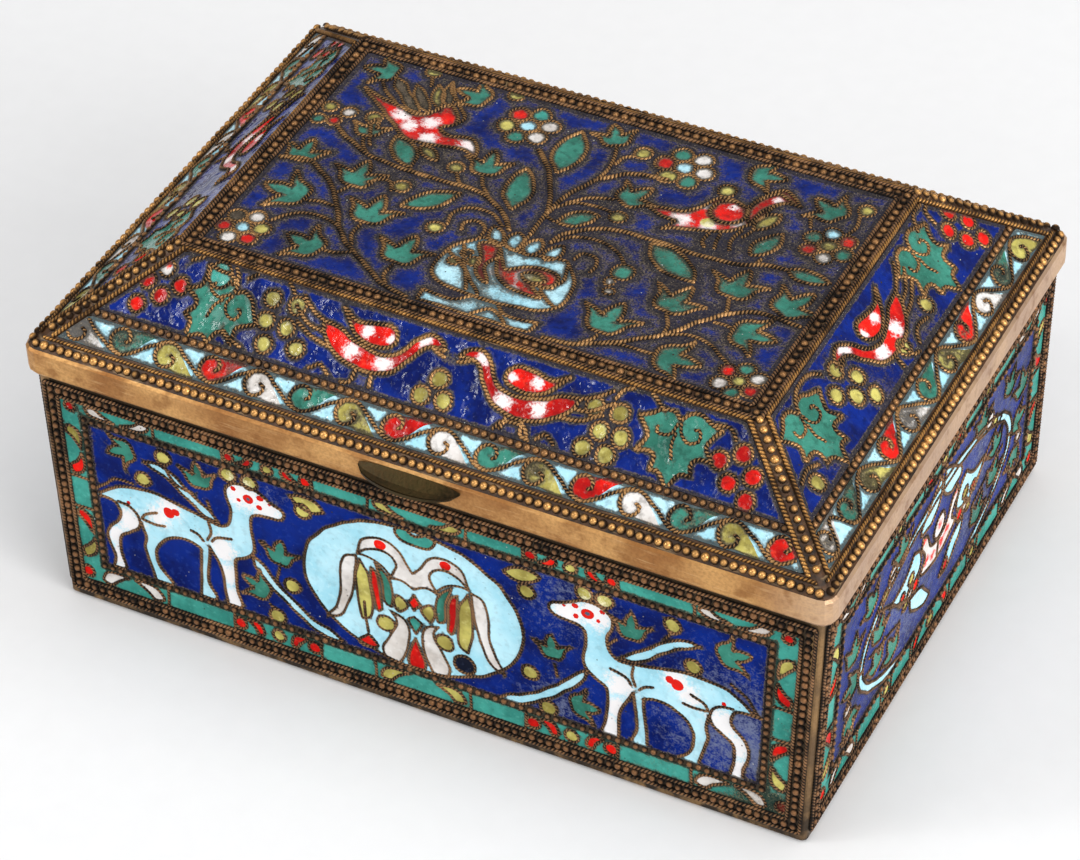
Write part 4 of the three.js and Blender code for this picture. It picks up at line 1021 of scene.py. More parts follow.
pots = {}
for side, laid in panels.items():
    wirework = Heap()
    for panel in laid:
        panel.solder(wirework, step_for(side))
        panel.melt(pots)
    wirework.make(f"base_wirework_{side}", dark_wire, "filigree_wire", "box", [f"base_picture_wires_{side}"])
fire(pots, sum(panels.values(), []), "box")


# ---- Base: beading ------------------------------------------------------------------
# Rows of cast shot lie between straight twisted wires all round each wall, and one more
# row parts the border from the picture. All are soldered to the metal, brown with dirt, and darker at their
# feet with painted shade.
SHOT_PITCH = 1.4
SHOT_SIDES = 8
SHOT_RINGS = (0, 0.62, 1.12)    # how far up the dome each ring lies, in radians
WALL_WIRES = (0.34, 2.44)       # how far in from a wall's edge the two wires run
dark_shot = wire_metal("dark_gilt_shot", srgb(140, 98, 62), srgb(24, 18, 14), 0.42)
hand = np.random.default_rng(7)


def shot(heap, centres, axes, radius):
    """Adds half-round grains of metal, standing along the last of the axes."""
    ring = np.arange(SHOT_SIDES)
    dome = [(math.cos(a) * math.cos(h), math.sin(a) * math.cos(h), math.sin(h))
            for h in SHOT_RINGS for a in ring * 2 * math.pi / SHOT_SIDES]
    dome = np.array([*dome, (0, 0, 1)]) * radius / 1000
    after = (ring + 1) % SHOT_SIDES
    band = np.stack([ring, after, after + SHOT_SIDES, ring + SHOT_SIDES], axis=1)
    walls_of_dome = np.concatenate([band, band + SHOT_SIDES])
    highest = 2 * SHOT_SIDES
    cap = np.stack([ring + highest, after + highest, np.full(SHOT_SIDES, 3 * SHOT_SIDES)], axis=1)
    count, each = len(centres), len(dome)
    sizes = hand.uniform(0.93, 1.06, (count, 1, 1))
    points = centres[:, None] + (dome * sizes) @ axes
    starts = (np.arange(count) * each)[:, None, None]
    faces = [(f + starts).reshape(-1, f.shape[1]) for f in (walls_of_dome, cap, ring[None, ::-1])]
    tone = hand.uniform(-0.16, 0.16, (count, 1))
    # Brighter towards the top of each grain and darker at its foot: rubbed wear, dirt, and painted light and
    # shade, with a random tone.
    rub = 0.1 + 0.9 * (dome[:, 2] * 1000 / radius) ** 1.5 + tone
    heap.add(points.reshape(-1, 3), faces, rub=rub.ravel())


def round_sides(outline, pitch):
    """Places at an even pitch round a four-sided outline, with one at each corner."""
    places = []
    for a, b in zip(outline, np.roll(outline, -1, axis=0)):
        count = round(float(np.linalg.norm(b - a)) / pitch)
        places.append(a + (b - a) * (np.arange(count) / count)[:, None])
    return np.concatenate(places)


def straight_wires(heap, face, outline, lift=0.22, radius=0.36, section=TWIST / 3):
    """Lays a twisted wire along each side of an outline."""
    for a, b in zip(outline, np.roll(outline, -1, axis=0)):
        twist(heap, face.at, np.array([a, b]), lift, radius, section)


for side, face in walls.items():
    section = step_for(side)
    outer, inner = f"base_outer_beading_{side}", f"base_inner_beading_{side}"
    edge = face.corners(outer)
    wires, grains = Heap(), Heap()
    for distance in WALL_WIRES:
        straight_wires(wires, face, inset(edge, distance), radius=0.32, section=section)
    shot(grains, face.at(round_sides(inset(edge, 1.38), SHOT_PITCH), 0.05), face.frame, 0.62)
    shot(grains, face.at(round_sides(inset(face.corners(inner), 0.52), 1.42), 0.0), face.frame, 0.54)
    wires.make(f"base_border_wires_{side}", dark_wire, "dark_beading", "box", [outer])
    grains.make(f"base_shot_{side}", dark_shot, "dark_beading", "box", [outer, inner])


# ---- Hinge and thumb lip --------------------------------------------------------------
# Rolled brass leaves and a pin along the back, and a crescent lip on the front of the
# lid, soldered on and worn smooth by thumbs.
def plain_brass(name, bright, dull, roughness):
    finish = Finish(name, metallic=0.85)
    colour, grain = worn_sheet(finish, bright, dull, srgb(88, 62, 34))
    return finish.surface(colour, finish.fade(grain, 0.2, 0.8, roughness, roughness + 0.2), grain, 0.03)


hinge_brass = plain_brass("hinge_brass", srgb(176, 134, 82), srgb(128, 94, 56), 0.36)
for node in ("hinge_leaf_base", "hinge_leaf_lid", "hinge_pin"):
    dress(node, hinge_brass)
dress("thumb_lip", plain_brass("lip_brass", srgb(66, 55, 27), srgb(38, 31, 16), 0.28))


# ---- Lid: the metal hood --------------------------------------------------------------
# One hood of sheet brass: an upright satin band with a painted pale sheen towards the right
# end, and four slopes up to the flat panel, brown between the beading.
PALE_SHEEN_RIGHT = (0.052, 0.066)  # metres across, where the band turns paler
SLOPING = (0.72, 0.77)      # how far a face looks up where the band ends and a slope begins


def hood_metal():
    finish = Finish("hood_brass")
    band, grain = worn_sheet(finish, srgb(212, 162, 100), srgb(160, 108, 58), srgb(104, 70, 38))
    facing = finish.node("TexCoord", {}, 1)
    up = finish.node("SeparateXYZ", {"Vector": facing}, 2)
    across = finish.node("SeparateXYZ", {"Vector": finish.place}, 0)
    # Painted sheen: the band turns pale pinkish towards the right end.
    band = finish.blend(finish.fade(across, *PALE_SHEEN_RIGHT, 0, 0.6), band, srgb(204, 178, 156))
    ochre = finish.blend(finish.fade(finish.noise(1.2, 4), 0.3, 0.7), srgb(84, 54, 28), srgb(34, 24, 15))
    streak = finish.fade(finish.noise(2.6, 5), 0.5, 0.72, 0, 0.6)
    band = finish.blend(streak, band, srgb(134, 84, 38))
    finish.feed(finish.shader.inputs["Metallic"], finish.fade(up, *SLOPING, 0.8, 0.3))
    colour = finish.blend(finish.fade(up, *SLOPING), band, ochre)
    scratches = finish.node("TexNoise", {
        "Vector": finish.node("Mapping", {"Vector": finish.place, "Scale": (260, 260, 3000)}),
        "Scale": 1.0, "Detail": 5})
    colour = finish.blend(finish.fade(scratches, 0.55, 0.75, 0, 0.35), colour, srgb(226, 186, 132))
    return finish.surface(colour, finish.fade(grain, 0.2, 0.8, 0.36, 0.55), grain, 0.03)


dress("lid_shell", hood_metal())


# ---- Lid: the top panel ------------------------------------------------------------------
# A bird lies in a turquoise bowl, from which twisted stems spread with ivy leaves,
# long leaves, berries and rosettes; two more birds fly at the back corners.
top = Face("lid_panel_enamel", (0, 0, 1))
panel = Panel(top, "lid_panel_enamel", "cobalt", (0.9, 1.7), inside=0.8)
for u, v, turn, size in (
    (-40.7, -1.2, 90, 0.8), (-30.4, -3.0, 95, 0.9), (-37.6, -10.4, 175, 1.0), (-24.4, -9.8, 90, 0.95),
    (-15.9, -16.2, 88, 0.95), (-29.2, -20.3, 165, 0.9), (-39.2, 22.2, 185, 0.8), (-23.4, 22.2, 170, 0.8),
    (-14.0, 7.4, 100, 0.8), (0.3, 21.6, 120, 0.75), (8.8, 9.6, 60, 0.8), (24.2, 22.4, 10, 0.8),
    (36.8, 18.8, 150, 0.85), (31.4, -3.0, 88, 0.95), (40.2, -3.6, 60, 0.95), (24.8, -9.8, 75, 0.95),
    (37.4, -11.8, 0, 0.95), (18.0, -17.6, 85, 1.0), (29.8, -21.2, 5, 0.95), (-34.4, 8.0, 95, 0.65),
):
    ivy_leaf(panel, u, v, turn, size)
for start, end, width in (
    ((-4.0, 10.2), (-5.0, 21), 4.6), ((-6.0, -0.6), (-8.4, 9.4), 4.2), ((-21.2, -6.6), (-14.6, -0.2), 3.8),
    ((-24.2, 2.4), (-30.0, 8.4), 3.6), ((1.2, -0.4), (6.4, 3.6), 3.2), ((15.8, 1.0), (25.4, -4.4), 4.4),
    ((36.4, 3.6), (43.2, 3.2), 2.6), ((30.2, 4.4), (32.6, 10.8), 3.2),
):
    long_leaf(panel, start, end, width)
for start, end, width in (((-25.6, 7.6), (-21.4, 5.6), 1.9), ((28.0, 10), (30.4, 15), 2.6)):
    long_leaf(panel, start, end, width, "yellow")
for u, v in (
    (-32.3, 25), (-18.2, 25), (5.6, 19.9), (20.9, 16.8), (41.4, 21.1), (-23.4, -2.3), (-14.2, -8.8),
    (-18.2, 5.1), (8.9, 4.6), (-35.2, 11),
):
    berry(panel, u, v)
rosette(panel, -13.0, 18.8, 20, ["turquoise", "white", "teal", "red", "yellow", "green", "white"])
rosette(panel, 12.9, 19.2, 60, ["turquoise", "white", "green", "red", "yellow", "green", "white"])
rosette(panel, 39.6, 11.2, 100, ["yellow", "turquoise", "green", "red", "white", "green", "red"], 0.9)
rosette(panel, -40.0, -20.6, 75, ["turquoise", "white", "umber", "red", "white", "red", "yellow"], 0.9)
rosette(panel, 40.4, -21.6, 90, ["yellow", "green", "red", "white", "green", "red", "white"], 0.85)
for u, v, colour in ((-42.6, 10.7, "yellow"), (-39.3, 10.5, "white"), (-42.9, 7.3, "green"),
                     (-40.4, 7.8, "red"), (14.4, -9.4, "white"), (15.2, -11.4, "white")):
    berry(panel, u, v, colour, 1.25 if u < 0 else 0.85)
berry(panel, 15.2, -6.8, "green", 1.7)

# Bowl, petals over its rim, and its foot
half_bowl = [(0, -20.6), (5.2, -20.2), (8.8, -19.3), (10.4, -16.8), (10.4, -13.6), (9.2, -10.6),
             (6.6, -7.8), (0, -8.9)]
panel.cell("turquoise", mirrored(half_bowl), sharp=(6, 8))
for tip_u, foot_u, width in ((-6.4, -3.6, 2.2), (-2.6, -1.5, 2.6), (1.0, 0.9, 2.6), (4.8, 3.6, 2.4)):
    long_leaf(panel, (foot_u, -9.2), (tip_u, -4.9), width, "turquoise")
half_foot = [(0, -24.6), (8.9, -24.5), (9.2, -22.2), (4.2, -22.6), (2.2, -20.7), (0, -20.4)]
panel.cell("turquoise", mirrored(half_foot), sharp=(1, 2, 4, 6, 8, 9))
for line in ([(-8.6, -10.4), (-6.8, -14), (-3.4, -19.9)], [(-10.2, -12.6), (-6, -15.6), (-1.4, -20.2)],
             [(7.2, -8.6), (8.4, -12.4), (6.2, -15.4), (9.9, -18)],
             [(-0.6, -24.4), (1.8, -22.2), (5.2, -24.2)]):
    panel.wire(line)
for outline, colour in (
    ([(-3.2, -9.6), (-2.2, -12.8), (0.2, -16), (3.4, -16.9), (6.9, -17), (4.6, -14.9), (7.4, -14.2),
      (7.2, -11.4), (4.2, -10.9), (1.4, -12), (-0.4, -13.2), (-1.9, -11.6)], "red"),
    ([(-6.6, -9.4), (-4.2, -8.8), (-2.6, -10.6), (-3.4, -13.6), (-1.6, -17.2), (-4.2, -15.4),
      (-5.2, -12)], "red"),
    ([(2.2, -13.2), (4.4, -12.2), (6, -13.4), (3.8, -14.4)], "yellow"),
):
    panel.cell(colour, outline)
for u, v, colour in ((-8.2, -14.6, "yellow"), (-5.4, -13.6, "yellow"), (-7.2, -12.3, "umber")):
    berry(panel, u, v, colour, 0.95)
panel.clouds += [(2.4, -13.4, 1.4), (-1.8, -14.4, 1.0), (2.4, -16.6, 1.0)]

# Bird at the back left, flying down to the right
panel.cell("red", [
    (-40.2, 17.2), (-36.4, 15.9), (-32.8, 15.2), (-30.4, 14.2), (-28.9, 14.8), (-27.6, 16.2), (-26.4, 18.4),
    (-25.2, 18), (-23.6, 16.4), (-23.2, 14.4), (-24.8, 12.9), (-22.6, 11.6), (-20.4, 12.3), (-18.6, 12.2),
    (-17.4, 10.4), (-16.8, 8.4), (-19.4, 9.6), (-22.6, 8.8), (-25.6, 8.2), (-28.4, 8.4), (-30.8, 9.8),
    (-33.4, 12), (-36.4, 14.2)], sharp=(0, 15))
panel.clouds += [(-31.8, 13.6, 1.7), (-29.4, 11.6, 1.4), (-26.8, 13.6, 1.5), (-25.4, 9.8, 1.6),
                 (-18.6, 11, 2.2)]
for line, width, colour in (([(-28.2, 15.4), (-30.4, 17.6), (-33.2, 21)], 1.9, "umber"),
                            ([(-27, 16.6), (-28.6, 19.2), (-30.2, 22.6)], 1.7, "yellow"),
                            ([(-26, 18), (-27.6, 20.6), (-28.6, 24)], 1.8, "umber"),
                            ([(-29.4, 14.8), (-32.8, 17.2), (-37, 21.6)], 1.8, "umber")):
    ribbon(panel, line, width, colour)
panel.wire([(-23.2, 14.4), (-22.6, 16.4), (-24.4, 18.6), (-27.4, 21.6), (-28.6, 24)])

# Bird at the back right, rising to the right
panel.cell("red",
           [(11.4, 9), (14.6, 9.4), (17.2, 9.8), (18.8, 11.6), (20.4, 14.6), (22.8, 15.4), (25, 14.4),
            (25.8, 16.4), (26.8, 18.8), (28.4, 20.4), (30.2, 19.8), (32.6, 17.8), (30.4, 17.8),
            (28.6, 16.2), (28.2, 13.4), (26.8, 10.4), (24.4, 7.8), (21, 6.6), (17.6, 5.8), (15.8, 4.6),
            (17, 7.2), (14.4, 7.4)], sharp=(0, 11, 19, 20))
panel.cell("red", circle(23.2, 12.4, 2.7))
panel.cell("red", [(25.6, 14.2), (26.4, 17.4), (28, 19.4), (29.8, 18.9), (31.4, 18), (29.4, 17.3),
                   (27.8, 15.2), (27, 11.4)], sharp=(4,))
for u, v, radius in ((18.7, 7, 0.8), (15.4, 8.3, 0.7)):
    panel.cell("red", circle(u, v, radius, 8), radius=0)
panel.cell("yellow", circle(21.4, 8.9, 1.1, 8), radius=0)
panel.clouds += [(23.4, 13.8, 0.9), (28.6, 18, 1.0), (17.4, 8, 1.9), (22, 7.9, 1.6), (25.6, 10.4, 1.2),
                 (19.6, 12.4, 1.0)]
for line in ([(22.6, 6.8), (22.4, 4.6), (23.6, 3.4)], [(24.2, 7.4), (24.4, 5), (24.8, 3.6)],
             [(26.8, 9.6), (26.4, 6.4), (27, 4)], [(28, 9.8), (27.4, 7.6)]):
    panel.wire(line)

# Stems, from the bowl outwards
STOUT = 0.46
for line in (
    [(-10.2, -24.9), (-15, -23.6), (-20, -20.4), (-25, -17), (-28, -13.4), (-30.6, -9.2), (-34.2, -5.4),
     (-39, -2.6), (-43.6, -3.5)],
    [(11, -24.8), (16, -24), (20.6, -21.6), (24.6, -18.6), (27.6, -15.6), (30, -12), (33, -8.9),
     (36.8, -6.9), (43.6, -7.2)],
    [(-3.9, -5.2), (-6.2, -2.4), (-9.6, 0.2), (-14, 1.5), (-20, 1.3), (-27, 1.7), (-31.6, 2.5),
     (-36, 4.5), (-39.6, 7)],
    [(2.7, -5.2), (3.6, -2.4), (6.4, 0.2), (10.6, 1.6), (16, 1.8), (22, 1.4), (28.6, 1.7), (32.8, 3.3),
     (36.6, 3.5)],
    [(-0.9, -4.9), (-0.9, 0.6), (-1.8, 3.4), (-3.2, 6.8), (-5.6, 10.6), (-9, 14.3)],
    [(-0.9, 0.8), (-0.4, 4.4), (0.8, 8.4), (3.2, 12.2), (7, 15), (12, 15.6)],
):
    panel.wire(line, radius=STOUT)
for line in ([(-27.4, -14.4), (-31, -13.6), (-34.4, -14.4), (-37.4, -17.8)],
             [(-30, -10.6), (-32.6, -10.4), (-34.8, -11.2)],
             [(-22.4, -19), (-24.6, -20.2), (-26.6, -20.4)],
             [(-24.4, -12.6), (-24.6, -15.4), (-23.4, -17.6)], [(-30.4, -5.6), (-31.4, -7.6)],
             [(-15.8, -19), (-15.8, -21.6), (-14.4, -23.6)], [(-28.6, -3.6), (-26, -1.8), (-24, -4)],
             [(24.8, -12.6), (26.2, -14.6), (26.4, -16.6)],
             [(26.4, -16.8), (30, -15.6), (34, -16.4), (37.6, -19.2)],
             [(31.6, -11.4), (33.6, -11.4), (34.8, -11.8)],
             [(18.8, -22.8), (22.4, -21.4), (27.2, -21.4)], [(18, -20.6), (17.8, -22.2), (16.2, -23.8)],
             [(31.4, -5.8), (32.4, -7.8), (32.6, -8.8)],
             [(-13, -7.6), (-13.6, -4.8), (-11.4, -2.5), (-8, -2.7), (-5.2, -4.6)],
             [(-7.4, -8.6), (-7.4, -6.2), (-9.2, -5.1), (-11, -6.2), (-10.6, -7.9)],
             [(3, -4.6), (5.2, -2.4), (9, -1.8), (12.4, -2.9), (14.8, -5.2)],
             [(7.4, -7.2), (8.2, -5.4), (10.2, -5.4), (11.2, -7.2), (10.8, -9)],
             [(-0.6, 2.6), (2, 5), (6, 5.4), (7.8, 4.9)], [(0.4, 4.2), (3, 6.8), (6.8, 8)],
             [(-0.9, 0.4), (1, -0.4)], [(-23.2, 1.4), (-24.4, 2.4)],
             [(-17.6, 4), (-15.8, 2), (-13.6, 1.6)], [(-13.8, 5.2), (-12.6, 3.2), (-10.6, 0.8)],
             [(-31.8, 2.6), (-33.6, 4.4), (-34.2, 6)],
             [(2.2, 10.6), (2.6, 14), (2.2, 17.6), (1.4, 19.8)], [(3, 15.6), (3.6, 17.8), (4.8, 18.8)],
             [(-0.9, -8.6), (-0.9, -5)], [(32.2, 4.6), (31.8, 3.2)],
             [(41, 19.6), (41.6, 16.6), (41, 14.4)], [(34.4, 16.4), (35.6, 13.8)],
             [(-38.6, 19.8), (-36.6, 17.4), (-33.6, 15.4)], [(-35, 9.4), (-33.6, 6.8), (-32.4, 4.4)],
             [(-32.2, 23.8), (-31, 21.4)]):
    panel.wire(line)
for u, v, size, more in ((-24, 5, 9, 0.3), (0, 2, 9, 0.35), (22, 1, 12, 0.4), (28, -13, 9, 0.3),
                         (-1, -14, 8, 0.45), (-1, -23, 6, 0.5), (-30, 20, 6, 0.2), (38, 12, 10, 0.25)):
    panel.stains.append((u, v, size, more))
top_panel = panel


# ---- Lid: borders of the slopes ---------------------------------------------------------
# A running scroll in white, green, yellow and red on pale turquoise, along the foot of
# each slope. One wire makes the whole wave, and a hook curls inside every scroll.
SCROLL_COLOURS = ("white", "green", "yellow", "red")
SCROLL_CELL = [(-1.9, 0), (-1.4, 1.4), (0, 1.95), (1.6, 1.4), (2.9, 0), (4.2, -1.4), (5.4, -2.15),
               (3.2, -2.2), (1.4, -1.9), (0, -1.9), (-1.4, -1.3)]
SCROLL_HOOK = [(0.3, 1.95), (-1.2, 1.5), (-1.9, 0.1), (-1.3, -1.35), (0, -1.85), (1.1, -1.2),
               (1.15, -0.2), (0.4, 0.1)]
BAND_TOP = 48.4   # height where the slopes begin
slopes = {
    side: Face(f"lid_field_enamel_{side}", (0.6 * x, 0.6 * y, 0.8), BAND_TOP)
    for side, (x, y, _) in FACING.items()
}


def scroll_border(side, first, pitch, hung, dirt):
    """Scrolls from the left, each standing under the wave or hung on it."""
    panel = Panel(slopes[side], f"lid_border_enamel_{side}", "turquoise", dirt, inside=2)
    panel.radius = 0.32
    middle = (panel.outline[0, 1] + panel.outline[2, 1]) / 2
    wave = [(first - pitch * 0.75, middle - 1.6), (first - pitch * 0.5, middle - 1.2)]
    for number, below in enumerate(hung):
        u, way = first + number * pitch, -1 if below else 1
        colour = SCROLL_COLOURS[number % 4]
        panel.cell(colour, np.array(SCROLL_CELL) * (1, way) + (u, middle), sharp=(6,), radius=0)
        panel.wire(np.array(SCROLL_HOOK) * (1, way) + (u, middle))
        wave.append((u, middle + way * 1.95))
        if number + 1 < len(hung) and hung[number + 1] == below:
            wave.append((u + pitch / 2, middle - way * 1.6))
    wave.append((first + (len(hung) - 0.3) * pitch, middle - way * 2))
    panel.wire(wave)
    return panel


ALTERNATE = (False, True)
borders = {
    "front": scroll_border("front", -57, 7.5, ALTERNATE * 8, (0.26, 0.45)),
    "right": scroll_border("right", -36.4, 7.05, (True, True, *ALTERNATE * 4, False), (0.36, 0.6)),
    "back": scroll_border("back", -57, 7.5, ALTERNATE * 8, (0.4, 0.6)),
    "left": scroll_border("left", -36.4, 7.05, (*ALTERNATE * 5, False), (0.4, 0.6)),
}
borders["front"].stains += [(-57, 5, 3, 0.5), (-50, 6, 4, 0.35), (-31, 4, 3, 0.4), (-9, 5, 3.4, 0.3),
                            (17, 6, 3, 0.35), (44, 4, 4, 0.3)]
borders["right"].stains += [(-38, 5, 4, 0.3), (-24, 4, 5, 0.45), (-8, 5, 4, 0.4), (9, 5, 6, 0.35),
                            (27, 5, 4, 0.4)]


# ---- Lid: pictures on the slopes ----------------------------------------------------------
# Birds in red and white, vine leaves, and grapes in yellow and red, on cobalt.
def slope_bird(panel, flip, shift):
    """A bird with a raised wing, drawn for the left side and facing right."""
    def place(points):
        return np.array(points, float) * (flip, 1) + shift

    body = [(-0.9, 17.4), (-2.2, 18.8), (-4.0, 19.2), (-5.6, 18.0), (-6.8, 16.2), (-8.6, 14.7), (-11, 14.2),
            (-14.4, 15), (-17.2, 16.2), (-20.4, 16.6), (-19.6, 14.8), (-17.4, 12.9), (-14.4, 11.6),
            (-11, 11.4), (-7.8, 12.5), (-5.8, 14.6), (-4.6, 16.6), (-3, 17.4)]
    panel.cell("red", place(body), sharp=(0, 9))
    wing = [(-18.0, 19.4), (-15.4, 18), (-12.4, 18.4), (-9.8, 18.6), (-8.6, 17.2), (-9.2, 15.8), (-12, 15.1),
            (-14.6, 15.9), (-16.4, 17.4)]
    panel.cell("red", place(wing), sharp=(0,))
    for points in ([(-20.4, 16.6), (-22.6, 17.6), (-24.6, 19.4)], [(-19.8, 15), (-22.4, 15.6), (-25.4, 17.6)],
                   [(-18, 13.2), (-21.4, 13.8), (-24.4, 15.6)], [(-0.6, 16.6), (-2.2, 16.9), (-3.2, 17.6)],
                   [(-10.6, 11.2), (-10.2, 9.2)], [(-13, 11.4), (-13.4, 9.4), (-15, 8.8)]):
        panel.wire(place(points))
    for u, v, size in ((-4.4, 18.1, 1.3), (-9.4, 13.1, 1.6), (-14.8, 13.6, 1.5), (-13.4, 17, 1.1),
                       (-9.6, 16.8, 0.8)):
        panel.clouds.append((*place([(u, v)])[0], size))


def slope_panel(side, dirt):
    return Panel(slopes[side], f"lid_field_enamel_{side}", "cobalt", dirt)


def front_slope():
    panel = slope_panel("front", (0.3, 0.5))
    slope_bird(panel, 1, (0, 0))
    slope_bird(panel, -1, (0.4, 0))
    for u, v in ((-0.4, 13.5), (-2.3, 10.6), (1.3, 10.6), (-29, 17.5), (-25, 17.5), (-29, 14.1), (-25.5, 14),
                 (-28, 10.8), (-23, 11.4), (23.1, 16.3), (26.9, 16.3), (25, 13.1), (28.3, 13.1), (23.3, 10.2),
                 (26.8, 10.2)):
        berry(panel, u, v)
    for u, v in ((-49.4, 11), (-46.2, 13), (-43.7, 15.2), (-49, 14.8), (43, 14.2), (48.3, 13.3), (45.2, 11.6),
                 (48.4, 9.7), (45.9, 16)):
        berry(panel, u, v, "red")
    berry(panel, -46.7, 17.3, "white", 1.3)
    panel.clouds.append((-46.7, 17.7, 0.6))
    vine_leaf(panel, -37.0, 13.6, 238, 1.0)
    berry(panel, -38.2, 18.5, "teal", 1.9)
    vine_leaf(panel, 36.2, 14.4, 276, 1.0)
    for line in ([(-43.6, 19.4), (-41, 20.4), (-37, 20.8), (-35.4, 19), (-36, 17.4)],
                 [(-34, 19), (-31, 20.9), (-27.6, 20.4), (-26, 18.9)],
                 [(25.4, 18), (26.6, 19.9), (30, 20.4), (33.4, 18.6)],
                 [(40.4, 18.8), (42.8, 19), (44.4, 17.2)], [(-20.4, 9.4), (-18.6, 10.4), (-17, 9.2)],
                 [(16, 9.2), (17.6, 10.3), (19.2, 9.4)],
                 [(9.6, 8.9), (10.8, 10.4), (13.8, 10.6), (15, 9.2)],
                 [(-31.4, 9.2), (-33.4, 10), (-35.2, 11)]):
        panel.wire(line)
    panel.stains += [(-12, 9, 3.6, 0.5), (14, 9.4, 5, 0.5), (-44, 17, 4, 0.25), (-36, 13, 6, 0.4),
                     (-27, 14, 5, 0.45), (27, 14, 4.4, 0.3), (36, 14, 5, 0.3), (20, 18.4, 4, 0.3),
                     (-18, 19, 3, 0.35)]
    return panel


def right_slope():
    panel = slope_panel("right", (0.6, 0.8))
    slope_bird(panel, -1, (-11.2, 0.3))
    vine_leaf(panel, -22.4, 15, 268, 1.0)
    vine_leaf(panel, 18.2, 15.2, 276, 1.0)
    for u, v in ((-29.5, 10.8), (-14.6, 15.5), (-11, 17.6), (-9, 14.6), (-12, 13), (-9.1, 10.9),
                 (1.9, 11.2), (11.5, 12)):
        berry(panel, u, v)
    for u, v in ((26.4, 15.3), (29.2, 17), (31, 13.9), (27.8, 12.2), (30.4, 10.4)):
        berry(panel, u, v, "red")
    for line in ([(-21.6, 19.6), (-19, 20.6), (-15.4, 20.4), (-13.4, 19)],
                 [(21.4, 19), (23.6, 21), (27, 21.2)], [(25.4, 17.4), (25.8, 19.8), (28, 20.6)],
                 [(-32, 12.6), (-29, 13), (-26.6, 12.2)], [(4.6, 9.6), (6.8, 11.2), (10, 10.6)]):
        panel.wire(line)
    panel.stains += [(-6, 10, 4, 0.5), (8, 11, 5, 0.5), (22, 17, 4, 0.4), (-24, 10, 4, 0.4),
                     (-10, 19, 4, 0.3)]
    return panel


def plain_slope(side):
    """The same leaves and grapes on the far sides, with a bird at each end of the back."""
    panel = slope_panel(side, (0.5, 0.6))
    if side == "back":
        slope_bird(panel, 1, (-14, 0))
        slope_bird(panel, -1, (14, 0))
        spots = ((-46, 13.4), (0, 14), (46, 13.4))
    else:
        slope_bird(panel, 1, (11, 0.4))
        spots = ((-22, 14.4), (22.6, 14.4))
    for u, v in spots:
        vine_leaf(panel, u, v, 270, 0.95)
        for shift in (-1, 1):
            if abs(u + shift * 7.2) < 50 and side == "back" or abs(u + shift * 7.2) < 34:
                colour = "red" if shift * u > 0 else "yellow"
                for du, dv in ((0, -3.4), (-1.7, -0.4), (1.9, -0.4), (0, 2.6)):
                    berry(panel, u + shift * 7.4 + du, v + dv, colour)
    return panel


fields = {"front": front_slope(), "right": right_slope(), "back": plain_slope("back"),
          "left": plain_slope("left")}

bright_wire = wire_metal("gilt_wire", srgb(184, 138, 86), srgb(24, 18, 13), 0.32)
lid_pots = {}
for side in FACING:
    wirework = Heap()
    for panel in (fields[side], borders[side]):
        panel.solder(wirework, step_for(side))
        panel.melt(lid_pots)
    nets = [f"lid_picture_wires_{side}", f"lid_scroll_wires_{side}"]
    wirework.make(f"lid_wirework_{side}", bright_wire, "filigree_wire", "lid", nets)
wirework = Heap()
top_panel.solder(wirework)
top_panel.melt(lid_pots)
wirework.make("lid_wirework_panel", bright_wire, "filigree_wire", "lid", ["lid_picture_wires_panel"])
fire(lid_pots, [*fields.values(), *borders.values(), top_panel], "lid")


# ---- Lid: beading ----------------------------------------------------------------------------
# Gilt shot and a thin wire along the edge, a row of shot above each border, shot between
# twisted wires up the hips and round the panel.
gilt_shot = wire_metal("gilt_shot", srgb(216, 160, 92), srgb(46, 30, 15), 0.26)
brown_shot = wire_metal("brown_gilt_shot", srgb(156, 112, 68), srgb(26, 19, 13), 0.34)
ochre_wire = wire_metal("ochre_gilt_wire", srgb(196, 142, 76), srgb(58, 38, 18), 0.32)


def in_a_row(start, end, pitch):
    """Places at an even pitch on a straight line, half a step in from both ends."""
    count = round(float(np.linalg.norm(end - start)) / pitch)
    return start + (end - start) * ((np.arange(count) + 0.5) / count)[:, None]


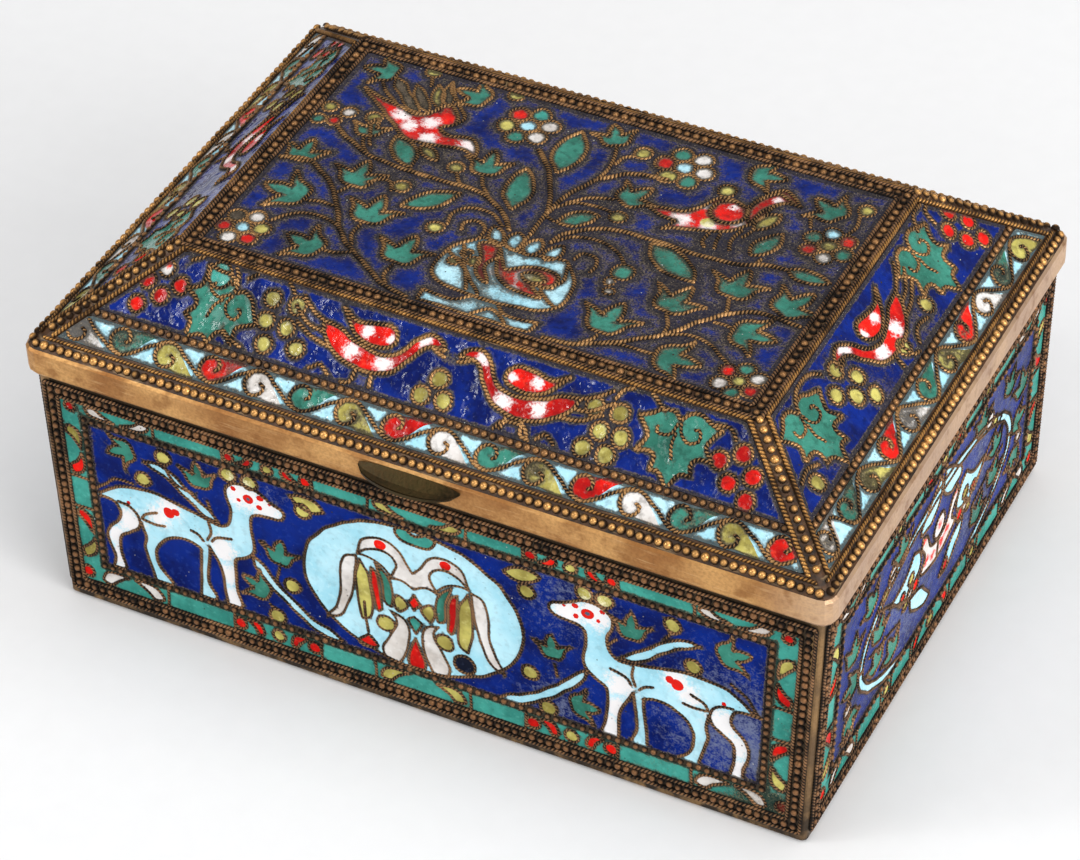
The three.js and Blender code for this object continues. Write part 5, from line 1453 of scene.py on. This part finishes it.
edge_grains, edge_wires = Heap(), Heap()
for side, face in slopes.items():
    section = step_for(side)
    a, b, c, d = face.corners(f"lid_border_enamel_{side}")
    lean = (a[0] - d[0]) / (a[1] - d[1])

    def across_at(v, inwards=0.0):
        """Both ends, on that level, of a line between the hips."""
        left = a[0] + lean * (v - a[1]) - 1.85 * math.hypot(1, lean) + inwards
        return np.array([(left, v), (-left, v)])

    low, high = across_at(0.9, 0.3)
    shot(edge_grains, face.at(in_a_row(low, high, 1.42), 0.0), face.frame, 0.72)
    twist(edge_wires, face.at, across_at(2.1, 0.8), 0.2, 0.3, section)
    ridge = face.corners(f"lid_field_enamel_{side}")[[3, 2]] + np.array([(-0.3, 0.5), (0.3, 0.5)])
    twist(edge_wires, face.at, ridge, 0.1, 0.32, section)
    grains = Heap()
    low, high = across_at(7.9, 2.2)
    shot(grains, face.at(in_a_row(low, high, 1.36), -0.02), face.frame, 0.62)
    grains.make(f"lid_border_shot_{side}", brown_shot, "gilt_beading", "lid", [f"lid_border_beading_{side}"])
edge_grains.make("lid_edge_shot", gilt_shot, "gilt_beading", "lid", ["lid_edge_beading"])
edge_wires.make("lid_edge_wires", ochre_wire, "filigree_wire", "lid", ["lid_edge_beading"])

hip_grains, hip_wires = Heap(), Heap()
hips = [f"lid_hip_beading_{corner}" for corner in ("front_left", "front_right", "back_right", "back_left")]
for side, face in slopes.items():
    a, b, c, d = face.corners(f"lid_field_enamel_{side}")
    for foot, head, out in ((a, d, -1), (b, c, 1)):
        along = (head - foot) / np.linalg.norm(head - foot)
        away = np.array([along[1], -along[0]]) * out
        start, end = foot - along * ((foot[1] - 2.2) / along[1]), head + along * 0.3
        twist(hip_wires, face.at, np.array([start, end]) + away * 0.5, 0.2, 0.4)
        if side in ("front", "back"):
            row = in_a_row(start, end, 1.5) + away * 1.75
            ridge = Vector(face.frame[2]) + Vector((out * face.frame[0][0] * 0.6, 0, 0.8))
            ridge.normalize()
            run = Vector(face.at(np.array([end]), 0)[0] - face.at(np.array([start]), 0)[0]).normalized()
            axes = np.array([run, ridge.cross(run), ridge])
            shot(hip_grains, face.at(row, -0.1), axes, 0.66)
hip_grains.make("lid_hip_shot", gilt_shot, "gilt_beading", "lid", hips)
hip_wires.make("lid_hip_wires", ochre_wire, "filigree_wire", "lid", hips)

frame_grains, frame_wires = Heap(), Heap()
rim = top.corners("lid_panel_beading")
for distance in (0.4, 2.6):
    straight_wires(frame_wires, top, inset(rim, distance))
shot(frame_grains, top.at(round_sides(inset(rim, 1.5), 1.5), 0.0), top.frame, 0.66)
frame_grains.make("lid_panel_shot", brown_shot, "gilt_beading", "lid", ["lid_panel_beading"])
frame_wires.make("lid_panel_wires", dark_wire, "filigree_wire", "lid", ["lid_panel_beading"])
